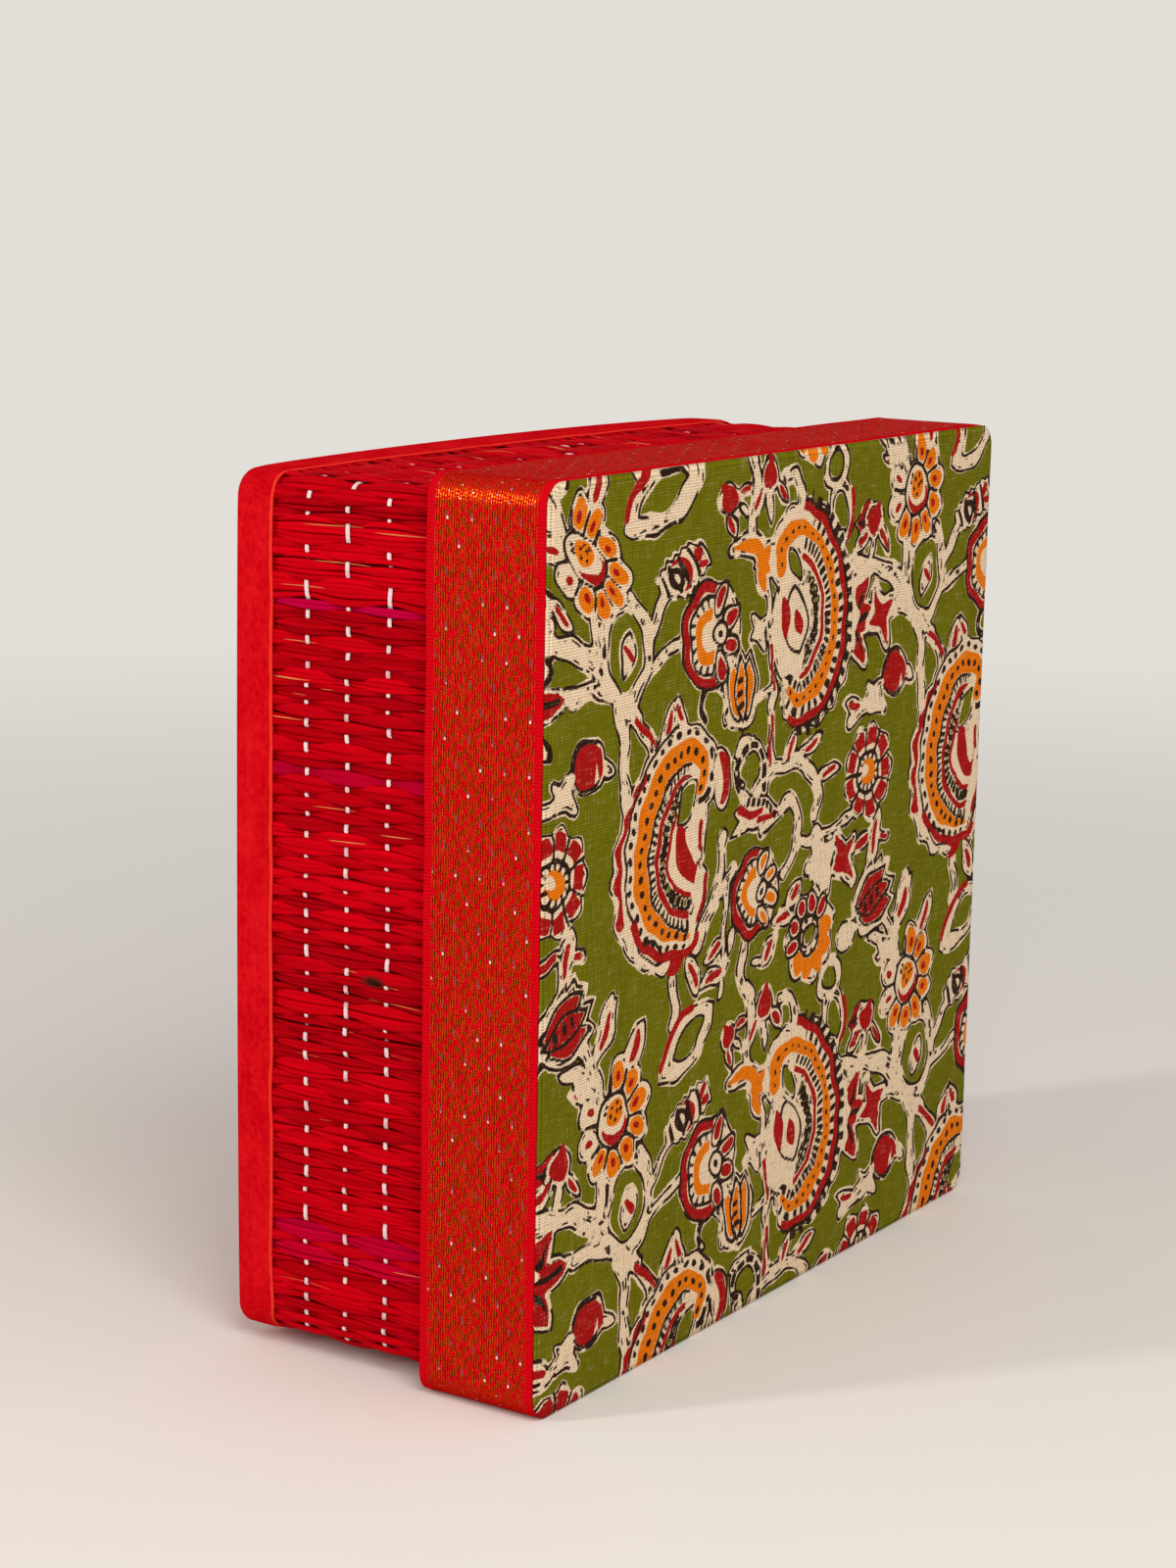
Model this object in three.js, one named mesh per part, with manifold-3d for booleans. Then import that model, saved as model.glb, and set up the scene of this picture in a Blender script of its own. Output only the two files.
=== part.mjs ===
// Square keepsake box of woven grass mat over card, with a lift-off lid covered in printed cotton
// and bound with a brocade ribbon. Millimetres. Each half is built upright, bottom at height 0, and the
// finished box is then laid on one side wall: +Z is up, and the lid faces -Y.
import * as THREE from "three";
import { mergeVertices } from "three/addons/utils/BufferGeometryUtils.js";
import Module from "manifold-3d";

const wasm = await Module();
wasm.setup();

// Overall sizes
const LID_SIDE = 165;
const BOX_HEIGHT = 69;
const RIM_HEIGHT = 25;
const LID_CORNER_RADIUS = 4.5;
const BASE_CORNER_RADIUS = 5;

// Layers of the lid, from the outside in
const RIBBON_THICKNESS = 0.4;
const RIBBON_FACE_SETBACK = 0.3;
const CLOTH_THICKNESS = 0.3;
const CLOTH_EDGE_RADIUS = 1.4;
const CLOTH_HEM_ABOVE_RIM = 2;
const LID_TOP_CARD = 2;
const LID_RIM_CARD = 1;
const LINING_THICKNESS = 0.25;

// Layers of the base, from the outside in
const TAPE_THICKNESS = 0.4;
const TAPE_WIDTH = 8.5;
const MAT_THICKNESS = 1.6;
const WALL_CARD = 2;
const FLOOR_CARD = 2;

// Weave of the grass mat: reeds stand side by side, and cotton warps run round the box across them
const REED_PITCH = 2.05;
const REED_RELIEF = 0.5;
const REED_WIDTH_SPREAD = 0.35;
const REED_FLAT_SHARE = 0.5;
const REED_WANDER_FAST = 5.3;
const REED_WANDER_SLOW = 2.4;
const WARP_COUNT = 5;
const WARP_WIDTH = 1.1;
const FIRST_WARP_FROM_EDGE_TAPE = 7.3;
const LAST_WARP_FROM_MOUTH_TAPE = 5.8;

// Clearances
const GLUE_GAP = 0.1;
const LID_PLAY = 0.3;
const LID_SEAT_GAP = 0.3;
const RIM_SETBACK = 0.4;

// Facets
const CORNER_STEPS = 6;
const CLOTH_EDGE_STEPS = 3;
const LEAST_RADIUS = 0.5;

// Half-widths of the lid's layers
const lidHalf = LID_SIDE / 2;
const ribbonInner = lidHalf - RIBBON_THICKNESS;
const clothOuter = ribbonInner - GLUE_GAP;
const clothInner = clothOuter - CLOTH_THICKNESS;
const rimCardOuter = clothInner - GLUE_GAP;
const rimCardInner = rimCardOuter - LID_RIM_CARD;
const rimLiningOuter = rimCardInner - GLUE_GAP;
const rimLiningInner = rimLiningOuter - LINING_THICKNESS;

// Half-widths of the base's layers
const baseHalf = rimLiningInner - LID_PLAY;
const tapeInner = baseHalf - TAPE_THICKNESS;
const matOuter = tapeInner - GLUE_GAP;
const matInner = matOuter - MAT_THICKNESS;
const wallCardOuter = matInner - GLUE_GAP;
const wallCardInner = wallCardOuter - WALL_CARD;
const wallLiningOuter = wallCardInner - GLUE_GAP;
const wallLiningInner = wallLiningOuter - LINING_THICKNESS;

// Heights, from the bottom of the box
const floorMatBottom = TAPE_THICKNESS + GLUE_GAP;
const floorMatTop = floorMatBottom + MAT_THICKNESS;
const floorCardBottom = floorMatTop + GLUE_GAP;
const floorCardTop = floorCardBottom + FLOOR_CARD;
const floorLiningBottom = floorCardTop + GLUE_GAP;
const floorLiningTop = floorLiningBottom + LINING_THICKNESS;
const clothTop = BOX_HEIGHT;
const clothUnder = clothTop - CLOTH_THICKNESS;
const topCardTop = clothUnder - GLUE_GAP;
const topCardBottom = topCardTop - LID_TOP_CARD;
const topLiningTop = topCardBottom - GLUE_GAP;
const topLiningBottom = topLiningTop - LINING_THICKNESS;
const mouthTop = topLiningBottom - LID_SEAT_GAP;
const wallTop = mouthTop - TAPE_THICKNESS - GLUE_GAP;
const rimBottom = BOX_HEIGHT - RIM_HEIGHT;
const rimLayersBottom = rimBottom + RIM_SETBACK;

// Finishes
const grassRed = new THREE.MeshStandardMaterial({ color: 0xb00818, roughness: 0.45 });
const tapeRed = new THREE.MeshStandardMaterial({ color: 0xd01414, roughness: 0.7 });
const warpWhite = new THREE.MeshStandardMaterial({ color: 0xe6dcd8, roughness: 0.85 });
const card = new THREE.MeshStandardMaterial({ color: 0x9a8466, roughness: 0.9 });
const liningRed = new THREE.MeshStandardMaterial({ color: 0x9c1016, roughness: 0.85 });
const printedCotton = new THREE.MeshStandardMaterial({ color: 0x5c6a12, roughness: 0.9 });
const brocade = new THREE.MeshStandardMaterial({ color: 0xb03a12, roughness: 0.4, metalness: 0.25 });

// Corner radius of a layer that lies inset from an outer face and follows it at an even distance.
const lidRadius = (half) => Math.max(LID_CORNER_RADIUS - (lidHalf - half), LEAST_RADIUS);
const baseRadius = (half) => Math.max(BASE_CORNER_RADIUS - (baseHalf - half), LEAST_RADIUS);

// Points of a rounded square, counter-clockwise, with the same count at every size.
function roundedSquare(half, radius) {
  const centre = half - radius;
  const points = [];
  for (let corner = 0; corner < 4; corner += 1) {
    const start = (corner * Math.PI) / 2;
    const middle = start + Math.PI / 4;
    const cx = Math.SQRT2 * centre * Math.cos(middle);
    const cy = Math.SQRT2 * centre * Math.sin(middle);
    for (let step = 0; step <= CORNER_STEPS; step += 1) {
      const angle = start + (step / CORNER_STEPS) * (Math.PI / 2);
      points.push(new THREE.Vector2(cx + radius * Math.cos(angle), cy + radius * Math.sin(angle)));
    }
  }
  return points;
}

// Flat panel with rounded corners.
function panel(half, radius, bottom, top) {
  const shape = new THREE.Shape(roundedSquare(half, radius));
  const geometry = new THREE.ExtrudeGeometry(shape, { depth: top - bottom, bevelEnabled: false });
  return geometry.translate(0, 0, bottom);
}

// Upright band bent round the four sides.
function hoop(outer, inner, radiusOf, bottom, top) {
  const shape = new THREE.Shape(roundedSquare(outer, radiusOf(outer)));
  shape.holes.push(new THREE.Path(roundedSquare(inner, radiusOf(inner))));
  const geometry = new THREE.ExtrudeGeometry(shape, { depth: top - bottom, bevelEnabled: false });
  return geometry.translate(0, 0, bottom);
}

// Section of [half-width, height] points carried round the four sides, counter-clockwise with the outside
// on the right. A closed section makes a ring; one that starts and ends at half-width 0 makes a capped shell.
function carriedRound(section, radiusOf) {
  const positions = [];
  const index = [];
  const rings = section.map(([half, height]) => {
    const first = positions.length / 3;
    if (half === 0) {
      positions.push(0, 0, height);
      return { first, count: 1 };
    }
    const outline = roundedSquare(half, radiusOf(half));
    for (const p of outline) positions.push(p.x, p.y, height);
    return { first, count: outline.length };
  });
  const capped = section[0][0] === 0;
  const spans = capped ? rings.length - 1 : rings.length;
  for (let i = 0; i < spans; i += 1) {
    const a = rings[i];
    const b = rings[(i + 1) % rings.length];
    const count = Math.max(a.count, b.count);
    for (let k = 0; k < count; k += 1) {
      const next = (k + 1) % count;
      const [a0, a1] = a.count === 1 ? [a.first, a.first] : [a.first + k, a.first + next];
      const [b0, b1] = b.count === 1 ? [b.first, b.first] : [b.first + k, b.first + next];
      if (a0 !== a1) index.push(a0, a1, b1);
      if (b0 !== b1) index.push(a0, b1, b0);
    }
  }
  const geometry = new THREE.BufferGeometry();
  geometry.setAttribute("position", new THREE.Float32BufferAttribute(positions, 3));
  geometry.setIndex(index);
  geometry.computeVertexNormals();
  return geometry;
}

// Point and outward direction at a distance along a rounded square.
function alongRoundedSquare(half, radius, distance) {
  const straight = 2 * (half - radius);
  const bend = (Math.PI / 2) * radius;
  const side = Math.floor(distance / (straight + bend)) % 4;
  const along = distance % (straight + bend);
  const turn = (side * Math.PI) / 2;
  const bendAngle = Math.max(along - straight, 0) / radius;
  const outward = new THREE.Vector2(Math.cos(bendAngle), Math.sin(bendAngle));
  const point = new THREE.Vector2(half - radius, Math.min(along, straight) - straight / 2);
  point.addScaledVector(outward, radius);
  const origin = new THREE.Vector2();
  return { point: point.rotateAround(origin, turn), outward: outward.rotateAround(origin, turn) };
}

// Ridged edge of a row of reeds as { along, depth } points: each reed is a flat-topped ridge between two
// valleys, and hand-split reeds differ in width, so their widths wander evenly about the mean.
function reedRow(length) {
  const count = Math.round(length / REED_PITCH);
  const widths = [];
  for (let k = 0; k < count; k += 1) {
    const wander = (Math.sin(REED_WANDER_SLOW * k) + Math.sin(REED_WANDER_FAST * k)) / 2;
    widths.push(1 + REED_WIDTH_SPREAD * wander);
  }
  const unit = length / widths.reduce((sum, width) => sum + width, 0);
  const points = [];
  let along = 0;
  for (const width of widths) {
    const reed = width * unit;
    const slope = (reed * (1 - REED_FLAT_SHARE)) / 2;
    points.push({ along, depth: REED_RELIEF });
    points.push({ along: along + slope, depth: 0 }, { along: along + reed - slope, depth: 0 });
    along += reed;
  }
  return points;
}

// Grass mat bent round the four sides: a ridge for each reed on the outside, smooth against the card.
function reededHoop(outer, inner, radiusOf, bottom, top) {
  const radius = radiusOf(outer);
  const length = 8 * (outer - radius) + 2 * Math.PI * radius;
  const outline = reedRow(length).map(({ along, depth }) => {
    const { point, outward } = alongRoundedSquare(outer, radius, along);
    return point.addScaledVector(outward, -depth);
  });
  const shape = new THREE.Shape(outline);
  shape.holes.push(new THREE.Path(roundedSquare(inner, radiusOf(inner))));
  const geometry = new THREE.ExtrudeGeometry(shape, { depth: top - bottom, bevelEnabled: false });
  return geometry.translate(0, 0, bottom);
}

// Geometry as a manifold solid, and a manifold solid as geometry.
function toSolid(geometry) {
  const bare = geometry.clone();
  bare.deleteAttribute("normal");
  bare.deleteAttribute("uv");
  const merged = mergeVertices(bare);
  return new wasm.Manifold(
    new wasm.Mesh({
      numProp: 3,
      vertProperties: merged.attributes.position.array,
      triVerts: new Uint32Array(merged.index.array),
    }),
  );
}

function toGeometry(solid) {
  const mesh = solid.getMesh();
  const geometry = new THREE.BufferGeometry();
  geometry.setAttribute("position", new THREE.BufferAttribute(mesh.vertProperties, 3));
  geometry.setIndex(new THREE.BufferAttribute(mesh.triVerts, 1));
  geometry.computeVertexNormals();
  return geometry;
}

// Grass mat under the floor: reeds run along X and ridge the underside, trimmed to the rounded square.
function reededPanel(half, radius, bottom, top) {
  const section = new THREE.Shape();
  section.moveTo(-half, top);
  for (const { along, depth } of reedRow(2 * half)) section.lineTo(along - half, bottom + depth);
  section.lineTo(half, bottom + REED_RELIEF);
  section.lineTo(half, top);
  const blank = new THREE.ExtrudeGeometry(section, { depth: 2 * half, bevelEnabled: false });
  blank.translate(0, 0, -half);
  // The section's own X and Y become the box's Y and height.
  blank.applyMatrix4(new THREE.Matrix4().set(0, 0, 1, 0, 1, 0, 0, 0, 0, 1, 0, 0, 0, 0, 0, 1));
  const outline = panel(half, radius, bottom, top);
  return toGeometry(toSolid(blank).intersect(toSolid(outline)));
}

// Quarter-round points of the lid's top edge at a radius, from the side up to the face.
function lidEdge(edgeRadius) {
  const points = [];
  for (let step = 0; step <= CLOTH_EDGE_STEPS; step += 1) {
    const angle = (step / CLOTH_EDGE_STEPS) * (Math.PI / 2);
    points.push([
      clothOuter - CLOTH_EDGE_RADIUS + edgeRadius * Math.cos(angle),
      clothTop - CLOTH_EDGE_RADIUS + edgeRadius * Math.sin(angle),
    ]);
  }
  return points;
}

// Printed cotton stretched over the lid and turned down its rim, with a soft edge where it folds.
function clothSection() {
  const hem = rimBottom + CLOTH_HEM_ABOVE_RIM;
  const inside = lidEdge(CLOTH_EDGE_RADIUS - CLOTH_THICKNESS).reverse();
  const outside = lidEdge(CLOTH_EDGE_RADIUS);
  return [[0, clothUnder], ...inside, [clothInner, hem], [clothOuter, hem], ...outside, [0, clothTop]];
}

// Card under the cloth, its top edge eased to the same fold.
function topCardSection() {
  const eased = lidEdge(CLOTH_EDGE_RADIUS - CLOTH_THICKNESS - GLUE_GAP);
  return [[0, topCardBottom], [rimCardOuter, topCardBottom], ...eased, [0, topCardTop]];
}

// Tape folded over the bottom edge, an L in section.
function edgeTapeSection() {
  const flange = baseHalf - TAPE_WIDTH;
  return [
    [flange, 0],
    [baseHalf, 0],
    [baseHalf, TAPE_WIDTH],
    [tapeInner, TAPE_WIDTH],
    [tapeInner, TAPE_THICKNESS],
    [flange, TAPE_THICKNESS],
  ];
}

// Tape folded over the mouth, a U in section that clasps mat, card and lining.
function mouthTapeSection() {
  const legBottom = mouthTop - TAPE_WIDTH;
  const innerLegOuter = wallLiningInner - GLUE_GAP;
  const innerLegInner = innerLegOuter - TAPE_THICKNESS;
  const underFold = mouthTop - TAPE_THICKNESS;
  return [
    [innerLegInner, legBottom],
    [innerLegOuter, legBottom],
    [innerLegOuter, underFold],
    [tapeInner, underFold],
    [tapeInner, legBottom],
    [baseHalf, legBottom],
    [baseHalf, mouthTop],
    [innerLegInner, mouthTop],
  ];
}

// Heights of the warps that show, evenly spaced between the two tapes.
function warpHeights() {
  const first = TAPE_WIDTH + FIRST_WARP_FROM_EDGE_TAPE;
  const last = mouthTop - TAPE_WIDTH - LAST_WARP_FROM_MOUTH_TAPE;
  const heights = [];
  for (let i = 0; i < WARP_COUNT; i += 1) heights.push(first + (i / (WARP_COUNT - 1)) * (last - first));
  return heights;
}

// One cotton warp lying on the reeds, with a rounded back.
function warpSection(height) {
  const flat = WARP_WIDTH / 4;
  return [
    [tapeInner, height - WARP_WIDTH / 2],
    [baseHalf, height - flat],
    [baseHalf, height + flat],
    [tapeInner, height + WARP_WIDTH / 2],
  ];
}

function piece(name, geometry, material) {
  const mesh = new THREE.Mesh(geometry, material);
  mesh.name = name;
  return mesh;
}

function buildBase() {
  const base = new THREE.Group();
  const floorMatHalf = matInner - GLUE_GAP;
  const floorCardHalf = wallCardInner - GLUE_GAP;
  const floorLiningHalf = wallLiningInner - GLUE_GAP;
  const floorMat = reededPanel(floorMatHalf, baseRadius(floorMatHalf), floorMatBottom, floorMatTop);
  const floorCard = panel(floorCardHalf, baseRadius(floorCardHalf), floorCardBottom, floorCardTop);
  const floorLining = panel(floorLiningHalf, baseRadius(floorLiningHalf), floorLiningBottom, floorLiningTop);
  const wallCard = hoop(wallCardOuter, wallCardInner, baseRadius, floorCardBottom, wallTop);
  const wallLining = hoop(wallLiningOuter, wallLiningInner, baseRadius, floorLiningBottom, wallTop);
  base.add(
    piece("floor_mat", floorMat, grassRed),
    piece("floor_card", floorCard, card),
    piece("floor_lining", floorLining, liningRed),
    piece("wall_card", wallCard, card),
    piece("wall_lining", wallLining, liningRed),
    piece("wall_mat", reededHoop(matOuter, matInner, baseRadius, floorMatBottom, wallTop), grassRed),
    piece("edge_tape", carriedRound(edgeTapeSection(), baseRadius), tapeRed),
    piece("mouth_tape", carriedRound(mouthTapeSection(), baseRadius), tapeRed),
  );
  warpHeights().forEach((height, i) => {
    base.add(piece(`warp_thread_${i + 1}`, carriedRound(warpSection(height), baseRadius), warpWhite));
  });
  return base;
}

function buildLid() {
  const lid = new THREE.Group();
  const topLiningHalf = rimLiningInner - GLUE_GAP;
  const topCard = carriedRound(topCardSection(), lidRadius);
  const topLining = panel(topLiningHalf, lidRadius(topLiningHalf), topLiningBottom, topLiningTop);
  const rimCard = hoop(rimCardOuter, rimCardInner, lidRadius, rimLayersBottom, topLiningTop);
  const rimLining = hoop(rimLiningOuter, rimLiningInner, lidRadius, rimLayersBottom, topLiningTop);
  const ribbon = hoop(lidHalf, ribbonInner, lidRadius, rimBottom, clothTop - RIBBON_FACE_SETBACK);
  lid.add(
    piece("lid_top_card", topCard, card),
    piece("lid_rim_card", rimCard, card),
    piece("lid_top_lining", topLining, liningRed),
    piece("lid_rim_lining", rimLining, liningRed),
    piece("lid_cloth", carriedRound(clothSection(), lidRadius), printedCotton),
    piece("lid_ribbon", ribbon, brocade),
  );
  return lid;
}

// The upright box is laid on its side wall, with the lid to the front.
const box = new THREE.Group();
box.add(buildBase(), buildLid());
box.rotation.x = Math.PI / 2;
box.position.set(0, BOX_HEIGHT / 2, lidHalf);

const part = new THREE.Group();
part.add(box);

export default part;
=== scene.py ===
"""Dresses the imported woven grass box: grass mats with cotton warps, tapes, brocade, printed cotton,
linings."""

import math
from collections import namedtuple

import bpy
import numpy as np
from bpy.props import FloatProperty, FloatVectorProperty, PointerProperty
from mathutils import Matrix, Vector


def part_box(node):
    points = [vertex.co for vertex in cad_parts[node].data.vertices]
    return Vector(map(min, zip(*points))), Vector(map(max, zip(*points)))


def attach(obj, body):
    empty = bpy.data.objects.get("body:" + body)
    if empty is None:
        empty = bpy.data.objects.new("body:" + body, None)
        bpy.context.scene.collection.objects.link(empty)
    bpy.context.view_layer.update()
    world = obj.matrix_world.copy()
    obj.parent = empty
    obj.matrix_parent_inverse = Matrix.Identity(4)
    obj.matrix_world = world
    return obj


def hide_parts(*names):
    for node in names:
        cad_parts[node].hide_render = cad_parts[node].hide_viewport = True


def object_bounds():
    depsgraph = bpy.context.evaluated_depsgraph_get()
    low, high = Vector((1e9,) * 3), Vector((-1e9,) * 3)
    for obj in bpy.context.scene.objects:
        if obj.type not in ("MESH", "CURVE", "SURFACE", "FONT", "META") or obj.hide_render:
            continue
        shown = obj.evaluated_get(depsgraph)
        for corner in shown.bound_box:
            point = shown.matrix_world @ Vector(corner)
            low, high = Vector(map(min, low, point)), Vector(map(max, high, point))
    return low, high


bl_info = {
    "name": "Woven Grass Box",
    "version": (1, 0, 0),
    "blender": (4, 5, 0),
    "location": "3D View > Sidebar > Grass Box",
    "description": "Builds the looks of a woven grass box on its packed solids",
    "category": "Object",
}

# Lengths are millimetres from here on, and levels are heights above the box's underside
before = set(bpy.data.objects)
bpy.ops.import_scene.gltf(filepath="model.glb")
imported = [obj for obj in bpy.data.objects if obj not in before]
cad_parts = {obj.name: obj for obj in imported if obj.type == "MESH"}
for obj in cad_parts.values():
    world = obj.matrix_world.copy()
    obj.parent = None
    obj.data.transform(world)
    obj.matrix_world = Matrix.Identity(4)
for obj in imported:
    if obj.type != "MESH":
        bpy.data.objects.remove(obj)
CAD_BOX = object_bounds()
MM = 0.001
LOW, HIGH = (np.array(corner) / MM for corner in CAD_BOX)
UNDERSIDE = HIGH[1]
MIDDLE = (LOW[2] + HIGH[2]) / 2
QUARTER = math.pi / 2
WHOLE = 2 * math.pi
GLUE_LINE = 0.1
TAPE = 0.4
LINING = 0.25


def half_of(node):
    """Half the width of a node."""
    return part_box(node)[1].x / MM


def levels_of(node):
    """Lowest and highest level of a node."""
    low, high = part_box(node)
    return UNDERSIDE - high.y / MM, UNDERSIDE - low.y / MM


def screen(red, green, blue):
    """A colour read off a screen, 0 to 255, as the linear colour that a shader wants."""
    shares = [channel / 255 for channel in (red, green, blue)]
    return tuple(share / 12.92 if share <= 0.0404 else ((share + 0.055) / 1.055) ** 2.4 for share in shares)


def darker(colour, share):
    """A colour times a share."""
    return tuple(channel * share for channel in colour)


def length_setting(name, description, millimetres):
    """A length property, given in millimetres."""
    size = millimetres * MM
    return FloatProperty(name=name, description=description, default=size, min=0, unit="LENGTH", precision=5)


def angle_setting(name, description, degrees):
    """An angle property, given in degrees."""
    return FloatProperty(name=name, description=description, default=math.radians(degrees), subtype="ANGLE")


def power_setting(name, description, watts):
    """A lamp's power, given in watts."""
    return FloatProperty(name=name, description=description, default=watts, min=0, unit="POWER")


def colour_setting(name, description, red, green, blue):
    """A colour property, given as it reads on a screen."""
    shown = screen(red, green, blue)
    return FloatVectorProperty(
        name=name, description=description, default=shown, min=0, max=1, size=3, subtype="COLOR"
    )


# Settings


class GrassSettings(bpy.types.PropertyGroup):
    """Dyed grass of the wall and floor mats."""

    strip_width: length_setting("Strip width", "Mean width of one strip of grass", 2.05)
    strip_thickness: length_setting("Strip thickness", "Height of one flattened strip", 0.42)
    weave_height: length_setting(
        "Weave height", "How far a strip rises between the warps that hold it down", 0.72
    )
    deep: colour_setting("Deep dye", "Dye where it took strongly", 140, 0, 8)
    bright: colour_setting("Bright dye", "Dye where it took lightly", 212, 0, 20)
    # Colour of the painted shade on the strips' sides and undersides
    shade: colour_setting("Shade", "Edges of the strips", 96, 0, 6)
    magenta: colour_setting("Magenta dye", "Odd strips that took another shade", 190, 0, 70)
    straw: colour_setting("Straw", "Bare grass that the dye missed", 236, 158, 92)
    husk: colour_setting("Husk", "Dark fleck of husk", 62, 26, 22)


class WarpSettings(bpy.types.PropertyGroup):
    """Cotton warps that hold the grass."""

    width: length_setting("Width", "Width of one warp as it lies on the grass", 0.94)
    height: length_setting("Height", "Height of one warp as it lies on the grass", 0.46)
    floor_pitch: length_setting("Floor pitch", "Distance between two warps of the floor mat", 8.9)
    cotton: colour_setting("Cotton", "Undyed cotton, tinted by the grass", 240, 214, 214)
    stain: colour_setting("Stain", "Cotton stained by the red dye", 212, 136, 144)


class TapeSettings(bpy.types.PropertyGroup):
    """Red tape on the bottom edge and on the mouth."""

    cloth: colour_setting("Cloth", "Red of the tape", 202, 1, 17)
    worn: colour_setting("Worn", "Lighter mottling of the tape", 232, 24, 31)
    # Painted shade in the hollows between the tape's threads
    hollow: colour_setting("Hollow", "Hollows between the tape's threads", 120, 4, 8)
    # Lighter woven edge: partly its own colour, partly a painted highlight
    selvedge: colour_setting("Selvedge", "Woven edge of the tape", 248, 70, 48)
    warp: length_setting("Warp", "Distance between the threads that run along the tape", 0.3)
    weft: length_setting("Weft", "Distance between the threads that cross the tape", 0.34)


class RibbonSettings(bpy.types.PropertyGroup):
    """Brocade ribbon round the lid's rim."""

    gold: colour_setting("Gold", "Metal yarns that run along the ribbon", 192, 74, 2)
    # Painted highlight on the crests of the metal yarns
    shine: colour_setting("Shine", "Crests of the metal yarns", 255, 180, 50)
    # Painted shade in the hollows between the yarns
    shade: colour_setting("Shade", "Hollows between the yarns", 84, 12, 0)
    red: colour_setting("Red", "Red floats and woven edges", 242, 14, 28)
    deep_red: colour_setting("Deep red", "Hollows of the red floats", 172, 2, 12)
    edge_red: colour_setting("Edge red", "Hollows of the woven edges", 150, 2, 12)
    # Colour of the painted glint at the end of the metal dashes
    silver_glint: colour_setting("Silver", "Bright ends of the metal dashes", 250, 240, 236)
    # Silver dashes painted as they look where no light catches them, a painted dark reflection
    unlit_silver: colour_setting("Tarnish", "Metal dashes where no light catches them", 118, 72, 78)
    yarn: length_setting("Yarn", "Distance between two gold yarns", 0.52)
    pick: length_setting("Pick", "Distance between two bindings of a gold yarn", 0.4)
    rib: length_setting("Rib", "Distance between two ribs of the woven edges", 0.55)
    edge: length_setting("Edge", "Width of the woven edges", 2)
    column: length_setting("Column", "Distance between the figure's columns", 2.5)
    repeat: length_setting("Repeat", "Distance between the figure's rows", 4.2)


class PrintSettings(bpy.types.PropertyGroup):
    """Block-printed cotton of the lid."""

    ground: colour_setting("Ground", "Olive ground", 112, 111, 2)
    cream: colour_setting("Cream", "Unprinted cotton", 244, 216, 182)
    orange: colour_setting("Orange", "Orange ink", 240, 122, 0)
    red: colour_setting("Red", "Red ink", 172, 0, 14)
    line: colour_setting("Line", "Black-brown line ink", 32, 14, 14)
    # Painted shade in the gaps between the threads, and the colour of darker slubs
    hollow: colour_setting("Hollow", "Gaps between the threads", 60, 44, 16)
    thread: length_setting("Thread", "Distance between two threads of the cotton", 0.52)


class LiningSettings(bpy.types.PropertyGroup):
    """Cotton lining and card inside the box."""

    cotton: colour_setting("Cotton", "Red cotton lining", 158, 14, 22)
    hollow: colour_setting("Hollow", "Gaps and slubs of the lining", 112, 6, 12)
    thread: length_setting("Thread", "Distance between two threads of the lining", 0.5)
    card: colour_setting("Card", "Grey-brown board", 150, 122, 88)
    stained: colour_setting("Stained card", "Board stained by the dyed grass", 122, 4, 12)


class StageSettings(bpy.types.PropertyGroup):
    """Floor, lamps and camera."""

    floor: colour_setting("Floor", "Pale floor", 226, 222, 216)
    lens: FloatProperty(
        name="Lens", description="Focal length that fits the photographed view", default=73.95, min=1
    )
    camera_at: FloatVectorProperty(
        name="Camera",
        description="Place of the camera",
        default=(-0.5232, -0.3293, 0.2185),
        size=3,
        subtype="TRANSLATION",
    )
    camera_turn: angle_setting("Camera turn", "Turn of the view from +Y towards +X", 57.0)
    camera_tilt: angle_setting("Camera tilt", "Tilt of the view below level", 11.1)
    camera_roll: angle_setting("Camera roll", "Roll of the view", -1.09)
    key: power_setting("Key light", "Power of the large lamp at the left", 3.6)
    fill: power_setting("Fill light", "Power of the lamp in front", 4.6)
    back: power_setting("Back light", "Power of the lamp behind the box", 7)
    sky: FloatProperty(
        name="Room light", description="Strength of the even light of the room", default=0.4, min=0
    )


class GrassBoxSettings(bpy.types.PropertyGroup):
    """All settings of the box, by material."""

    grass: PointerProperty(type=GrassSettings)
    warp: PointerProperty(type=WarpSettings)
    tape: PointerProperty(type=TapeSettings)
    ribbon: PointerProperty(type=RibbonSettings)
    cloth: PointerProperty(type=PrintSettings)
    lining: PointerProperty(type=LiningSettings)
    stage: PointerProperty(type=StageSettings)
    lid_corner: length_setting("Lid corner", "Corner radius of the lid", 4.5)
    base_corner: length_setting("Base corner", "Corner radius of the base", 5)


# Surfaces

# Share of each side of a ring's turn that runs straight, before the corner, and the least corner radius
STRAIGHT = 0.85
LEAST_RADIUS = 0.5
# Swell of the right, top, left and bottom wall, and how far below the lid's rim its wall share has grown
SWELL = np.array([0.3, 1.1, 0.5, 0.9])
SWELL_GROWTH = 30
# The rest of the swell is a lip at the bottom edge, from this level down over this depth
LIP_SHARE = 0.6
LIP_TOP = 10
LIP_DEPTH = 9


def lid_radius(box, half):
    """Corner radius of a layer of the lid: every layer shares the corner's middle with the outermost one."""
    return np.maximum(box.lid_corner / MM - (half_of("lid_ribbon") - half), LEAST_RADIUS)


def base_radius(box, half):
    """Corner radius of a layer of the base: every layer shares the corner's middle with the outermost one."""
    return np.maximum(box.base_corner / MM - (half_of("edge_tape") - half), LEAST_RADIUS)


def place(x, y, level):
    """Row-frame metres of points given from the box's axis and by their level."""
    x, y, level = np.broadcast_arrays(x, y, level)
    return np.stack([x, UNDERSIDE - level, y + MIDDLE], -1).reshape(-1, 3) * MM


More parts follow.
